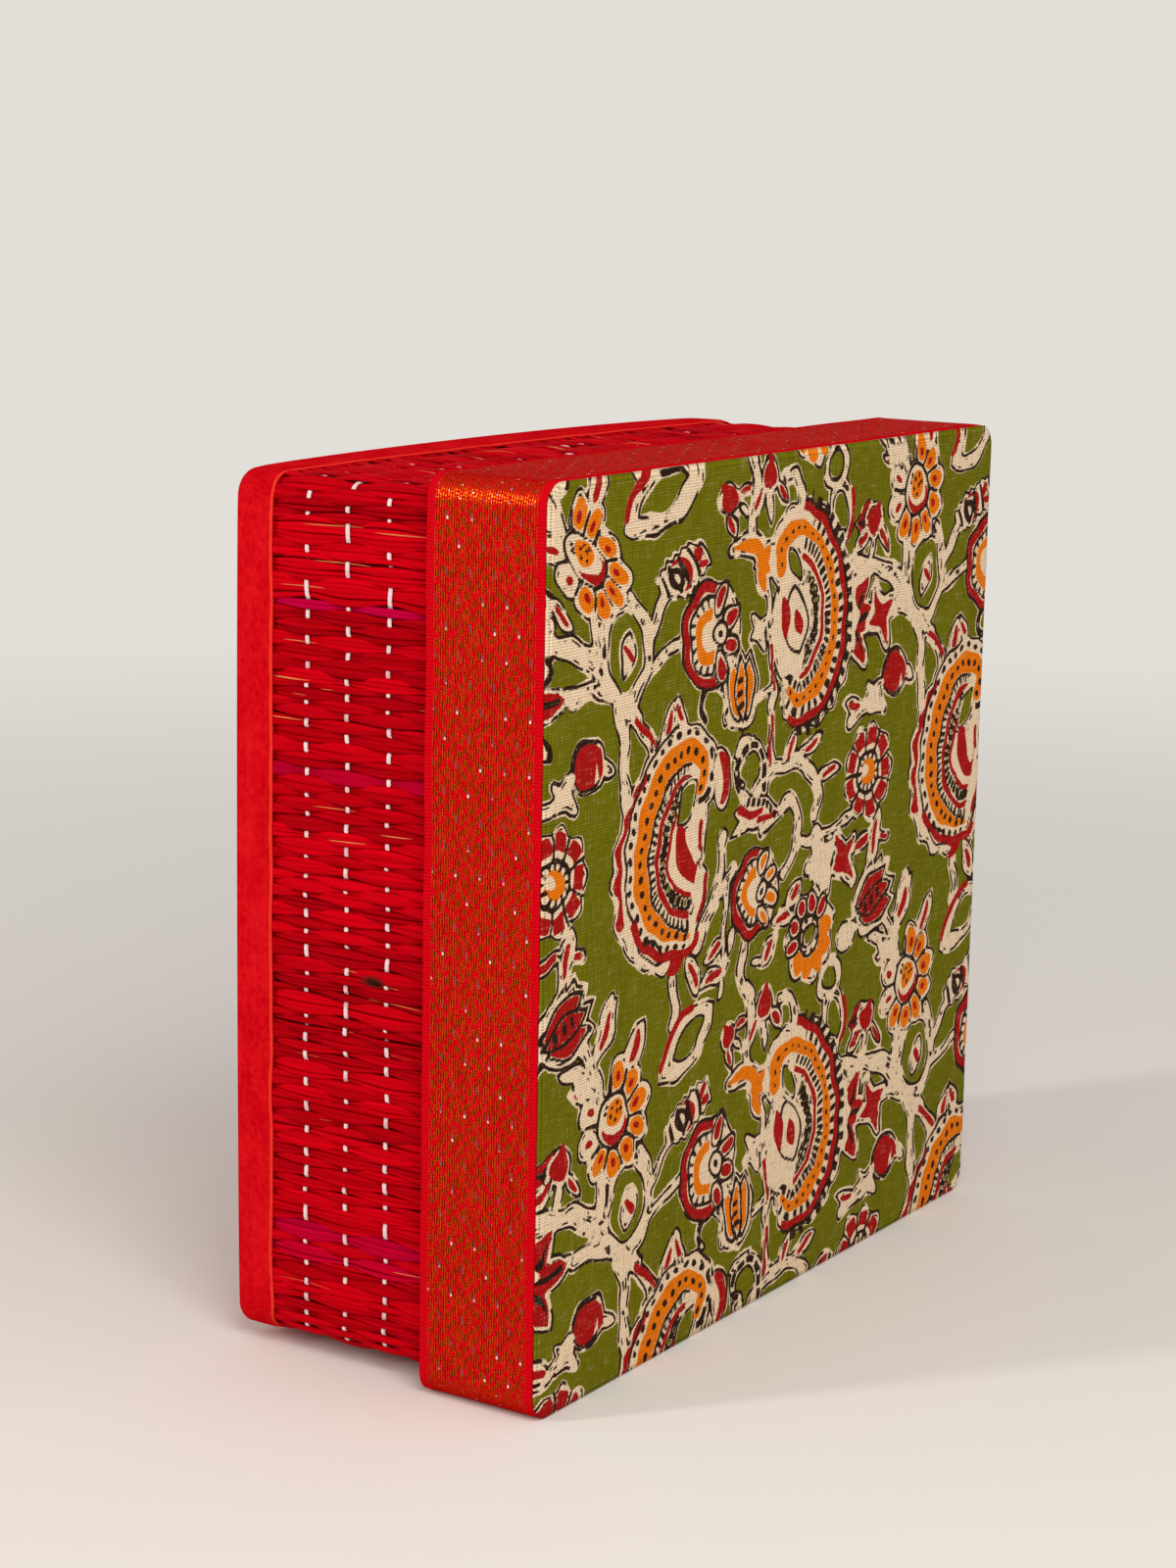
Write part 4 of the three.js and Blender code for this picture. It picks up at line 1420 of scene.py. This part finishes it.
def block_print(x, y):
    """Distances of the cloth's points from each ink's block, in millimetres, below nothing where the ink
    lies. Points are given in millimetres from the lid's lower left corner; the motifs' places below are
    eighths of a millimetre across and down from its upper left corner."""
    cloth = Blocks(x, y)

    def spot(across, down):
        """Millimetres from the lower left corner."""
        return across / 8, 2 * half_of("lid_ribbon") - down / 8

    def vine(wide, *places, red=False):
        """Presses one vine through its places."""
        points = np.array([spot(*place) for place in places])
        middle = (points.min(0) + points.max(0)) / 2
        reach = float(np.ptp(points, axis=0).max()) / 2 + 5
        cloth.press(stem, middle, reach=reach, points=points - middle, wide=wide, red=red)

    vine(2.2, (-20, 1020), (60, 1032), (120, 1055), (195, 1112), (262, 1160))
    vine(1.8, (80, 1103), (140, 1102), (190, 1118), red=True)
    vine(2.0, (200, 1115), (225, 1170), (228, 1230), (240, 1300))
    vine(1.9, (262, 1160), (298, 1210), (296, 1262))
    vine(1.5, (240, 1150), (275, 1170), (308, 1200), red=True)
    vine(1.9, (165, 990), (158, 1040), (160, 1075))
    vine(1.7, (266, 985), (290, 1035), (284, 1090), (250, 1130))
    vine(1.6, (285, 1090), (330, 1075), (385, 1055))
    vine(1.5, (296, 1045), (330, 1005), (355, 985))
    vine(2.0, (-10, 1268), (45, 1250), (90, 1222))
    vine(1.8, (340, 745), (352, 790), (345, 815))
    vine(1.9, (474, 562), (468, 624), (434, 672), (405, 712))
    vine(1.5, (505, 612), (472, 640))
    vine(1.2, (490, 620), (485, 700), (478, 800))
    vine(1.8, (588, 568), (627, 550), (667, 534), (692, 547), (698, 579), (687, 619), (656, 644))
    vine(2.0, (570, 502), (600, 487), (630, 477), (695, 477), (735, 502), (763, 540), (752, 570))
    vine(1.5, (698, 603), (760, 607), (830, 597), (900, 578))
    vine(1.8, (553, 720), (538, 770), (545, 800), (572, 815))
    vine(1.8, (555, 805), (575, 850), (562, 900), (575, 945))
    vine(1.8, (660, 845), (695, 850), (708, 880), (700, 915))
    vine(1.9, (895, 1024), (950, 1010), (1000, 1015), (1060, 1048), (1100, 1092))
    vine(2.0, (985, 1085), (1040, 1078), (1085, 1090), (1130, 1130))
    vine(1.5, (610, 994), (622, 1050), (630, 1110), (642, 1160), (634, 1200), (645, 1285))
    vine(1.3, (596, 1170), (640, 1160))
    vine(1.7, (-20, 672), (40, 655), (100, 664), red=True)
    vine(1.9, (85, 785), (120, 812), (145, 855), (158, 885))
    cloth.press(lily, spot(-8, 1112), size=1.05, reach=16)
    cloth.press(lily, spot(12, 958), turn=-10, size=0.5, reach=16)
    cloth.press(ringed_leaf, spot(231, 1058))
    cloth.press(loop_leaf, spot(384, 850), turn=31, reach=16)
    cloth.press(ladder_bud, spot(394, 962), turn=22)
    cloth.press(bud, spot(136, 1207), turn=4)
    barred = (
        (347, 1182, 70, 6.0, 3.0), (378, 1170, 108, 5.0, 2.2), (398, 752, -62, 5.4, 2.6),
        (456, 766, 14, 6.4, 2.4), (457, 728, 20, 4.4, 2.2), (792, 507, 8, 5.6, 2.2),
        (620, 758, 40, 4.6, 2.6), (657, 715, 0, 5.0, 2.2), (695, 682, 45, 4.2, 2.4),
        (950, 640, 75, 7.0, 3.0), (1057, 750, 70, 6.0, 3.0), (166, 788, 58, 7.2, 3.0),
        (243, 828, 58, 6.8, 3.0), (108, 868, -14, 5.4, 2.0), (868, 415, -12, 5.2, 2.4),
        (731, 457, 15, 5.5, 2.2), (670, 452, 62, 4.5, 2.4),
    )
    plain = (
        (88, 832, -8, 6.0, 2.0), (645, 950, 80, 5.0, 2.2), (866, 784, 20, 4.8, 3.4),
        (1005, 835, -40, 7.0, 2.6), (560, 1240, 20, 5.0, 2.2), (585, 770, 0, 3.6, 1.4),
        (505, 720, 70, 4.0, 1.6),
    )
    for bar, leaves in ((True, barred), (False, plain)):
        for across, down, turn, long, wide in leaves:
            cloth.press(
                small_leaf, spot(across, down), turn=turn, reach=long + 5, long=long, wide=wide, bar=bar
            )
    cloth.press(half_moon, spot(468, 467), turn=8, reach=11)
    cloth.press(tendril, spot(545, 466), reach=11)
    cloth.press(tendril, spot(462, 1160), size=0.9, reach=11)
    cloth.press(torn_leaf, spot(572, 537), turn=-10, reach=15)
    cloth.press(dart, spot(634, 1127), turn=12, size=0.42, reach=16)
    cloth.press(dart, spot(637, 1241), turn=-2, size=0.45, reach=16)
    cloth.press(feather, spot(575, 963), turn=-8)
    cloth.press(tulip, spot(545, 1157), turn=6, size=1.12)
    cloth.press(sprig, spot(612, 843), turn=8)
    cloth.press(sprig, spot(507, 868), turn=60, size=0.8)
    cloth.press(sprig, spot(943, 936))
    cloth.press(ragged_leaf, spot(775, 648), turn=10, size=1.3, ink="cream")
    cloth.press(ragged_leaf, spot(848, 655), turn=25, size=1.15)
    cloth.press(ragged_leaf, spot(938, 412), turn=40, size=0.8, ink="cream")
    cloth.press(ragged_leaf, spot(590, 1072), turn=20, size=0.75, ink="cream")
    cloth.press(ragged_leaf, spot(945, 282), turn=15, size=1.2, repeats=(0,))
    cloth.press(tulip, spot(952, 728), turn=-20, ink="red")
    cloth.press(tulip, spot(58, 762), turn=-70, size=1.25, ink="red")
    cloth.press(double_loop, spot(826, 888), reach=16)
    cloth.press(medallion, spot(456, 1062))
    cloth.press(medallion, spot(572, 660), size=0.86, right="orange")
    cloth.press(shell_flower, spot(747, 760), turn=20)
    cloth.press(wheel, spot(921, 527), size=0.82, reach=15)
    cloth.press(daisy, spot(190, 921), reach=15)
    cloth.press(paisley, spot(327, 572), reach=28)
    cloth.press(scalloped_paisley, spot(730, 1064), flip=-1, reach=28)
    return cloth.fields


# Operators

SEEDS = {
    "walls": 11,
    "floor": 12,
    "floor strands": 13,
    "tapes": 21,
    "ribbon": 31,
    "cloth": 41,
    "wall lining": 51,
    "rim lining": 52,
    "floor lining": 53,
    "top lining": 54,
}


class GRASSBOX_OT_mats(bpy.types.Operator):
    """Weaves the wall and floor mats from strips of grass and lays their cotton warps through them"""

    bl_idname = "grassbox.mats"
    bl_label = "Grass mats"

    def execute(self, context):
        box = context.scene.grass_box
        grass, warp = box.grass, box.warp
        finish, cotton = grass_finish(grass), warp_finish(warp)
        self.walls(box, grass, warp, finish, cotton)
        self.floor(box, grass, warp, finish, cotton)
        return {"FINISHED"}

    def walls(self, box, grass, warp, finish, cotton):
        """The mat bent round the four walls: strips stand along the height, warps run round."""
        rng = np.random.default_rng(SEEDS["walls"])
        half = half_of("wall_mat") - 0.6
        radius = base_radius(box, half)
        run = path_length(half, radius)
        names = [f"warp_thread_{n}" for n in range(1, 6)]
        levels = np.array([sum(levels_of(name)) / 2 for name in names])
        pitch = (levels[-1] - levels[0]) / 4
        low, high = levels_of("wall_mat")
        weave = Weave(rng, grass, run, levels[0], pitch)
        for height, share in ODD_STRIPS:
            away = np.abs(weave.middles - (2 * run / 4 + half - radius - (height - MIDDLE)))
            weave.odd[away.argmin()] = share
        rows = np.linspace(low + 0.3, high - 0.3, 54)
        woven = weave.strands(rows[None, :])
        loose = weave.fibres(120, low + 4, high - 4, FIBRE_ROWS)
        fleck = run * 0.625 + FLECK_DROP

        def onto(across_at, along_at, out):
            """Bends the flat mat round the walls, with their swell."""
            x, y, way_x, way_y = wall_at(across_at % run, half, radius)
            sides = across_at % run / run * 4
            whole = np.floor(sides)
            out = out + swell(whole + STRAIGHT * (sides - whole), along_at)
            return place(x + way_x * out, y + way_y * out, along_at)

        def husk_at(across_at, along_at):
            """1 in the fleck of husk, an oval with a soft edge."""
            away = np.hypot(across_at - fleck, (along_at - FLECK_LEVEL) / FLECK_REACH)
            return np.clip(2.6 - 2.2 * away, 0, 1)

        for side, wall in enumerate(("right", "top", "left", "bottom")):
            sets = []
            for strands in (woven, loose):
                middle = strands.across.mean(1) % run
                here = np.floor(middle / (run / 4)).astype(int) == side
                sets.append(Strands(*(part[here] for part in strands)))
            mat_piece(f"grass_{wall}_wall", sets, weave.thickness, onto, husk_at, finish, ("wall_mat",))
        for number, (name, level) in enumerate(zip(names, levels)):
            way, out = weave.stitched(number, warp.height / MM, STITCH_STEPS)
            drift = 0.16 * np.sin(way * 0.21 + number) + 0.1 * np.sin(way * 0.67 + 2 * number)
            warp_tube(f"cotton_warp_{number + 1}", onto, way, out, level + drift, warp, True, cotton, (name,))

    def floor(self, box, grass, warp, finish, cotton):
        """The mat under the floor: strips lie along X, warps cross them."""
        rng = np.random.default_rng(SEEDS["floor"])
        half = half_of("floor_mat")
        radius = base_radius(box, half)
        level = levels_of("floor_mat")[0] + 0.62
        pitch = warp.floor_pitch / MM
        first = -(FLOOR_WARPS - 1) / 2 * pitch
        weave = Weave(rng, grass, 2 * (half - 0.5), first, pitch)
        rows = np.linspace(-1, 1, 76)
        outermost = weave.strands(np.zeros((1, 1))).across[:, 0]
        beyond = np.clip(np.abs(outermost - half + 0.5) - (half - radius), 0, radius - 0.3)
        reach = half - radius + np.sqrt(radius**2 - beyond**2) - 0.3
        weave.rng = np.random.default_rng(SEEDS["floor strands"])
        woven = weave.strands(rows[None, :] * reach.min())
        loose = weave.fibres(60, -60, 60, FIBRE_ROWS)

        def onto(across_at, along_at, out):
            """Lays the flat mat under the floor, face down."""
            return place(along_at, across_at - half + 0.5, level - out)

        def no_husk(across_at, along_at):
            """The floor has no fleck of husk."""
            return 0 * across_at

        mat_piece("grass_floor", [woven, loose], weave.thickness, onto, no_husk, finish, ("floor_mat",))
        for number in range(FLOOR_WARPS):
            way, out = weave.stitched(number, warp.height / MM, STITCH_STEPS)
            across = first + number * pitch + 0.14 * np.sin(way * 0.3 + number)
            keep = np.abs(way - half + 0.5) < half - radius
            run, rise, along = way[keep], out[keep], across[keep]
            warp_tube(f"floor_warp_{number + 1}", onto, run, rise, along, warp, False, cotton, ())


class GRASSBOX_OT_tapes(bpy.types.Operator):
    """Folds the red tapes round the bottom edge and over the mouth"""

    bl_idname = "grassbox.tapes"
    bl_label = "Edge and mouth tapes"

    def execute(self, context):
        box = context.scene.grass_box
        finish = tape_finish(box.tape)
        turns = ring_turns(70, 16)
        rng = np.random.default_rng(SEEDS["tapes"])
        self.edge(box, finish, turns, rng)
        self.mouth(box, finish, turns, rng)
        return {"FINISHED"}

    def edge(self, box, finish, turns, rng):
        """An L with a rounded fold: down the wall, round a quarter circle, in under the floor. The upper edge
        wavers, and the flange puckers at the corners, where the tape has too much length."""
        outer = half_of("edge_tape")
        low, high = levels_of("edge_tape")
        crease = 1.6
        width = high - low
        swing = np.linspace(0, QUARTER, 7)
        half = np.concatenate([
            np.full(9, outer),
            outer - crease + crease * np.cos(swing),
            np.linspace(outer - crease, outer - width, 9)[1:],
        ])
        level = np.concatenate(
            [np.linspace(high, low + crease, 10)[:-1], low + crease - crease * np.sin(swing), np.full(8, low)]
        )
        half, level = half - TAPE / 2, level + TAPE / 2 * (level < low + crease)
        level[9:16] = low + crease - (crease - TAPE / 2) * np.sin(swing)
        half[9:16] = outer - crease + (crease - TAPE / 2) * np.cos(swing)
        half, level = doubled(half, level, TAPE)
        up = np.clip((level - low - crease) / (high - low - crease), 0, 1)
        inward = np.clip((outer - crease - half) / (width - crease), 0, 1)
        part = turns - np.floor(turns)
        corner = np.clip((part - STRAIGHT) / (1 - STRAIGHT), 0, 1)
        pucker = np.abs(np.sin(corner * math.pi * 4)) * np.sin(corner * math.pi) ** 0.5
        waver = ripple(rng, turns, (8, 60), 12)
        soft = ripple(rng, turns, (20, 90), 12)
        level_at = level + up * 0.22 * waver[:, None] + inward * 0.35 * pucker[:, None]
        half_at = half + 0 * level_at + up * (1 - up) * 0.28 * soft[:, None] - 0.12 * inward * waver[:, None]
        half_at += swell(turns[:, None], level_at) * (1 - inward) - 0.28 * np.clip(up * 5 - 4, 0, 1)
        radius = base_radius(box, half_at)
        tape = swept_band(
            "edge_tape_cloth", turns, half_at, level_at, radius, finish, "base", "edge_tape"
        )
        2 * width * MM
        path_length(outer, base_radius(box, outer)) * MM

    def mouth(self, box, finish, turns, rng):
        """A U over the mouth: up the outside of the wall, over it in a half round, down the inside."""
        outer = half_of("mouth_tape") - TAPE / 2
        low, high = levels_of("mouth_tape")
        inner = half_of("wall_lining") - LINING - GLUE_LINE - TAPE / 2
        top = high - TAPE / 2
        crown = 1.5
        rise = np.linspace(low, top - crown, 10)
        swing = np.linspace(0, math.pi, 15)
        middle, reach = (outer + inner) / 2, (outer - inner) / 2
        half = np.concatenate(
            [np.full(10, inner), (middle - reach * np.cos(swing))[1:-1], np.full(10, outer)]
        )
        level = np.concatenate([rise, (top - crown + crown * np.sin(swing) ** 0.7)[1:-1], rise[::-1]])
        half, level = doubled(half, level, TAPE)
        waver = ripple(rng, turns, (8, 60), 12)
        hem = np.clip((top - crown - level) / (top - crown - low), 0, 1)
        level_at = level + hem * 0.2 * waver[:, None]
        half_at = half + 0 * level_at
        radius = base_radius(box, half_at)
        tape = swept_band(
            "mouth_tape_cloth", turns, half_at, level_at, radius, finish, "base", "mouth_tape"
        )
        width = 2 * (top - low) + outer - inner
        width * MM
        path_length(middle, base_radius(box, middle)) * MM


class GRASSBOX_OT_ribbon(bpy.types.Operator):
    """Winds the brocade ribbon round the lid's rim"""

    bl_idname = "grassbox.ribbon"
    bl_label = "Brocade ribbon"

    def execute(self, context):
        box = context.scene.grass_box
        rng = np.random.default_rng(SEEDS["ribbon"])
        turns = ring_turns(110, 18)
        outer = half_of("lid_ribbon")
        low, high = levels_of("lid_ribbon")
        thick = 0.32
        down = np.concatenate([
            [high - 0.5, high - 0.7, high - 1.0],
            np.linspace(high - 1.5, low + 0.6, 24),
            [low + 0.2, low + 0.02],
        ])
        lean = 0.2 * np.exp((down - high + 0.5) / 0.7)
        half, level = doubled(outer - thick / 2 - lean, down, thick)
        flat = (level - low) / (high - low)
        waver, bulge = ripple(rng, turns, (6, 40), 10), ripple(rng, turns, (4, 30), 10)
        level_at = level + 0.16 * waver[:, None] * (1 - flat) + 0.05 * bulge[:, None] * flat
        bead = np.exp(-(((flat - 0.015) / 0.02) ** 2))
        half_at = half - 0.06 + 0.06 * bead + 0.1 * np.sin(math.pi * flat) * bulge[:, None]
        radius = lid_radius(box, half_at)
        finish = brocade_finish(box.ribbon)
        ribbon = swept_band(
            "brocade_ribbon", turns, half_at, level_at, radius, finish, "lid", "lid_ribbon"
        )
        (high - low) * MM
        path_length(outer, lid_radius(box, outer)) * MM
        return {"FINISHED"}


class GRASSBOX_OT_cloth(bpy.types.Operator):
    """Stretches the printed cotton over the lid and turns it down the rim"""

    bl_idname = "grassbox.cloth"
    bl_label = "Printed cloth"

    def execute(self, context):
        box = context.scene.grass_box
        outer = half_of("lid_cloth")
        low, high = levels_of("lid_cloth")
        crease = 1.4
        core_half = outer - crease
        radius = lid_radius(box, core_half)
        hem = crease * QUARTER + high - crease - low
        edge = core_half + np.concatenate([np.arange(1, 9) * 0.3, np.linspace(2.4, hem, 5)[1:]])
        line = np.concatenate([-edge[::-1], np.linspace(-core_half, core_half, 290), edge])
        u, v = np.meshgrid(line, line, indexing="ij")
        core = core_half - radius
        past_u, past_v, away = beyond_core(u, v, core)
        over = np.clip(away - radius, 0, None)
        bend = np.clip(over / crease, 0, QUARTER)
        drop = crease * (1 - np.cos(bend)) + np.clip(over - crease * QUARTER, 0, None)
        puff = 0.85 * np.exp(-(((over - 1.0) / 0.36) ** 2)) * (
            1 + 0.15 * np.sin(0.31 * u + 0.4) * np.sin(0.27 * v)
        )
        reach = np.minimum(away, radius) + crease * np.sin(bend) + puff
        share = reach / np.maximum(away, 1e-9)
        x = np.sign(u) * (np.minimum(np.abs(u), core) + past_u * share)
        y = np.sign(v) * (np.minimum(np.abs(v), core) + past_v * share)
        rng = np.random.default_rng(SEEDS["cloth"])
        level = high - 0.1 - drop - 0.03 * wrinkles(rng, u, v, True) * (over == 0)
        faces = grid_faces(len(line), len(line))[0]
        faces = faces[over.ravel()[faces].max(1) <= hem + 0.6]
        used = np.unique(faces)
        renumber = np.zeros(u.size, int)
        renumber[used] = np.arange(len(used))
        corner = half_of("lid_ribbon")
        values = block_print(u.ravel()[used] + corner, v.ravel()[used] + corner)
        cloth = make_piece(
            "printed_cloth",
            place(x.ravel()[used], y.ravel()[used], level.ravel()[used]),
            [renumber[faces]],
            print_finish(box.cloth),
            "lid",
            ("lid_cloth",),
            point_uv=np.stack([u.ravel()[used], v.ravel()[used]], -1),
            values=values,
        )
        side = 2 * (core_half + hem) * MM
        return {"FINISHED"}


class GRASSBOX_OT_linings(bpy.types.Operator):
    """Lines the base and the lid with cotton and finishes the card that carries everything"""

    bl_idname = "grassbox.linings"
    bl_label = "Linings and card"

    def execute(self, context):
        box = context.scene.grass_box
        finish = lining_finish(box.lining)
        board = card_finish("board", box.lining.card)
        stained = card_finish("stained_board", box.lining.stained)
        for node in ("floor_card", "lid_top_card", "lid_rim_card", "wall_card"):
            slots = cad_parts[node].data.materials
            slots.clear()
            slots.append(stained if node == "wall_card" else board)
        self.wall(box, "wall_lining", "wall_lining_cotton", "base", base_radius, finish, SEEDS["wall lining"])
        self.wall(
            box, "lid_rim_lining", "lid_rim_lining_cotton", "lid", lid_radius, finish, SEEDS["rim lining"]
        )
        self.panel(
            box, "floor_lining", "floor_lining_cotton", "base", base_radius, True,
            finish, SEEDS["floor lining"],
        )
        self.panel(
            box, "lid_top_lining", "lid_top_lining_cotton", "lid", lid_radius, False,
            finish, SEEDS["top lining"],
        )
        return {"FINISHED"}

    def wall(self, box, node, name, body, radius_of, finish, seed):
        """Cotton glued inside a wall: a ring of the wall's inner face with faint wrinkles; it faces
        inwards."""
        rng = np.random.default_rng(seed)
        turns = ring_turns(60, 10)
        half = half_of(node) - LINING
        low, high = levels_of(node)
        level = np.linspace(low, high, 16)
        puff = ripple(rng, turns, (8, 50), 10)[:, None] * np.sin(math.pi * (level - low) / (high - low))
        half_at = half + 0.05 + 0.12 * puff
        x, y = square_at(turns[:, None], half_at, radius_of(box, half_at))
        faces, corner_row, corner_column = grid_faces(len(turns), len(level), True, False)
        along = np.concatenate([turns, [4]]) / 4 * path_length(half, radius_of(box, half))
        uv = np.stack([level[corner_column], along[corner_row]], -1)
        piece = make_piece(name, place(x, y, level), [faces], finish, body, (node,), corner_uv=uv)
        (high - low) * MM
        path_length(half, radius_of(box, half)) * MM

    def panel(self, box, node, name, body, radius_of, up, finish, seed):
        """Cotton glued on a panel: a grid whose corners are drawn in to the round of the panel, with faint
        wrinkles."""
        rng = np.random.default_rng(seed)
        half = half_of(node)
        radius = radius_of(box, half)
        low, high = levels_of(node)
        line = np.linspace(-half, half, 90)
        u, v = np.meshgrid(line, line, indexing="ij")
        core = half - radius
        past_u, past_v, away = beyond_core(u, v, core)
        widest = np.maximum(past_u, past_v)
        share = np.where(away > 0, widest / np.maximum(away, 1e-9), 1)
        x = np.sign(u) * (np.minimum(np.abs(u), core) + past_u * share)
        y = np.sign(v) * (np.minimum(np.abs(v), core) + past_v * share)
        level = (high if up else low) + 0.02 * wrinkles(rng, u, v, False) * (1 if up else -1)
        faces = grid_faces(len(line), len(line))[0]
        piece = make_piece(
            name, place(x, y, level), [faces[:, ::-1] if not up else faces], finish, body, (node,),
            point_uv=np.stack([u, v], -1).reshape(-1, 2),
        )


# Where the lamps point, the floor's reach each way and its points along a side, in metres
LAMP_AIM = Vector((0, 0, 0.08))
FLOOR_REACH = 30
FLOOR_POINTS = 5


class GRASSBOX_OT_stage(bpy.types.Operator):
    """Sets the pale floor, the soft lamps and the camera"""

    bl_idname = "grassbox.stage"
    bl_label = "Stage"

    def execute(self, context):
        scene, stage = context.scene, context.scene.grass_box.stage
        scene.view_settings.view_transform = "Standard"
        self.floor(scene, stage)
        self.room(scene, stage)
        self.lamp(scene, "key_lamp", stage.key, at=(-0.45, -0.45, 0.62), size=0.45, tint=(1.0, 0.97, 0.93))
        self.lamp(scene, "front_lamp", stage.fill, at=(0.35, -1.5, 0.75), size=1.1, tint=(1.0, 0.98, 0.96))
        strip = self.lamp(
            scene, "back_lamp", stage.back, at=(-1.14, 0.78, 0.62), size=0.12, tint=(1.0, 0.96, 0.9)
        )
        strip.shape = "RECTANGLE"
        strip.size_y = 0.5
        self.camera(scene, stage)
        return {"FINISHED"}

    def floor(self, scene, stage):
        """A flat square far wider than the view."""
        line = np.linspace(-FLOOR_REACH, FLOOR_REACH, FLOOR_POINTS)
        x, y = np.meshgrid(line, line, indexing="ij")
        mesh = bpy.data.meshes.new("floor")
        points = np.stack([x, y, 0 * x], -1).reshape(-1, 3)
        mesh.from_pydata(points.tolist(), [], grid_faces(FLOOR_POINTS, FLOOR_POINTS)[0].tolist())
        mesh.materials.append(floor_finish(stage))
        floor = bpy.data.objects.new("floor", mesh)
        scene.collection.objects.link(floor)

    def room(self, scene, stage):
        """Even light all round; the camera and reflections see the floor's own pale colour instead."""
        world = bpy.data.worlds.new("room")
        scene.world = world
        world.use_nodes = True
        nodes = Nodes(world.node_tree)
        light = world.node_tree.nodes["Background"]
        nodes.join(light.inputs["Color"], (1, 0.99, 0.97))
        nodes.join(light.inputs["Strength"], stage.sky)
        shown = nodes.node("ShaderNodeBackground", {}, {"Color": stage.floor})
        mixed = nodes.node(
            "ShaderNodeMixShader", {}, {0: nodes.seen(), 1: Number(nodes, light.outputs[0]), 2: shown}
        )
        nodes.show("World Output", mixed)

    def lamp(self, scene, name, power, at, size, tint):
        """A square lamp that faces the middle of the box."""
        data = bpy.data.lights.new(name, "AREA")
        data.size, data.energy, data.color = size, power, tint
        lamp = bpy.data.objects.new(name, data)
        lamp.location = at
        lamp.rotation_euler = (LAMP_AIM - Vector(at)).to_track_quat("-Z", "Y").to_euler()
        scene.collection.objects.link(lamp)
        return data

    def camera(self, scene, stage):
        """The photographed view: place, turn, tilt and a slight roll found from the box's corners."""
        turn, tilt, roll = stage.camera_turn, stage.camera_tilt, stage.camera_roll
        ahead = Vector((math.sin(turn) * math.cos(tilt), math.cos(turn) * math.cos(tilt), -math.sin(tilt)))
        right = Vector((math.cos(turn), -math.sin(turn), 0))
        down = ahead.cross(right)
        level = math.cos(roll) * right + math.sin(roll) * down
        plumb = -math.sin(roll) * right + math.cos(roll) * down
        data = bpy.data.cameras.new("camera")
        data.lens, data.sensor_width, data.sensor_fit = stage.lens, 36, "AUTO"
        data.clip_start, data.clip_end = 0.01, 100
        camera = bpy.data.objects.new("camera", data)
        facing = Matrix((level, -plumb, -ahead)).transposed().to_4x4()
        camera.matrix_world = Matrix.Translation(stage.camera_at) @ facing
        scene.collection.objects.link(camera)
        scene.camera = camera


class GRASSBOX_PT_panel(bpy.types.Panel):
    """Buttons and settings of the woven grass box"""

    bl_idname = "GRASSBOX_PT_panel"
    bl_label = "Woven Grass Box"
    bl_space_type = "VIEW_3D"
    bl_region_type = "UI"
    bl_category = "Grass Box"

    def draw(self, context):
        box = context.scene.grass_box
        for operator in OPERATORS:
            self.layout.operator(operator.bl_idname)
        for name in ("grass", "warp", "tape", "ribbon", "cloth", "lining", "stage"):
            part = self.layout.box()
            part.label(text=name.capitalize())
            group = getattr(box, name)
            for key in group.__annotations__:
                part.prop(group, key)


OPERATORS = (
    GRASSBOX_OT_mats,
    GRASSBOX_OT_tapes,
    GRASSBOX_OT_ribbon,
    GRASSBOX_OT_cloth,
    GRASSBOX_OT_linings,
    GRASSBOX_OT_stage,
)
CLASSES = (
    GrassSettings,
    WarpSettings,
    TapeSettings,
    RibbonSettings,
    PrintSettings,
    LiningSettings,
    StageSettings,
    GrassBoxSettings,
    *OPERATORS,
    GRASSBOX_PT_panel,
)


def register():
    """Registers the classes and the scene's settings."""
    for kind in CLASSES:
        bpy.utils.register_class(kind)
    bpy.types.Scene.grass_box = PointerProperty(type=GrassBoxSettings)


def unregister():
    """Takes them away again."""
    del bpy.types.Scene.grass_box
    for kind in reversed(CLASSES):
        bpy.utils.unregister_class(kind)


def main():
    """Builds every piece and the stage."""
    register()
    bpy.ops.grassbox.mats()
    bpy.ops.grassbox.tapes()
    bpy.ops.grassbox.ribbon()
    bpy.ops.grassbox.cloth()
    bpy.ops.grassbox.linings()
    bpy.ops.grassbox.stage()


if __name__ == "__main__":
    main()
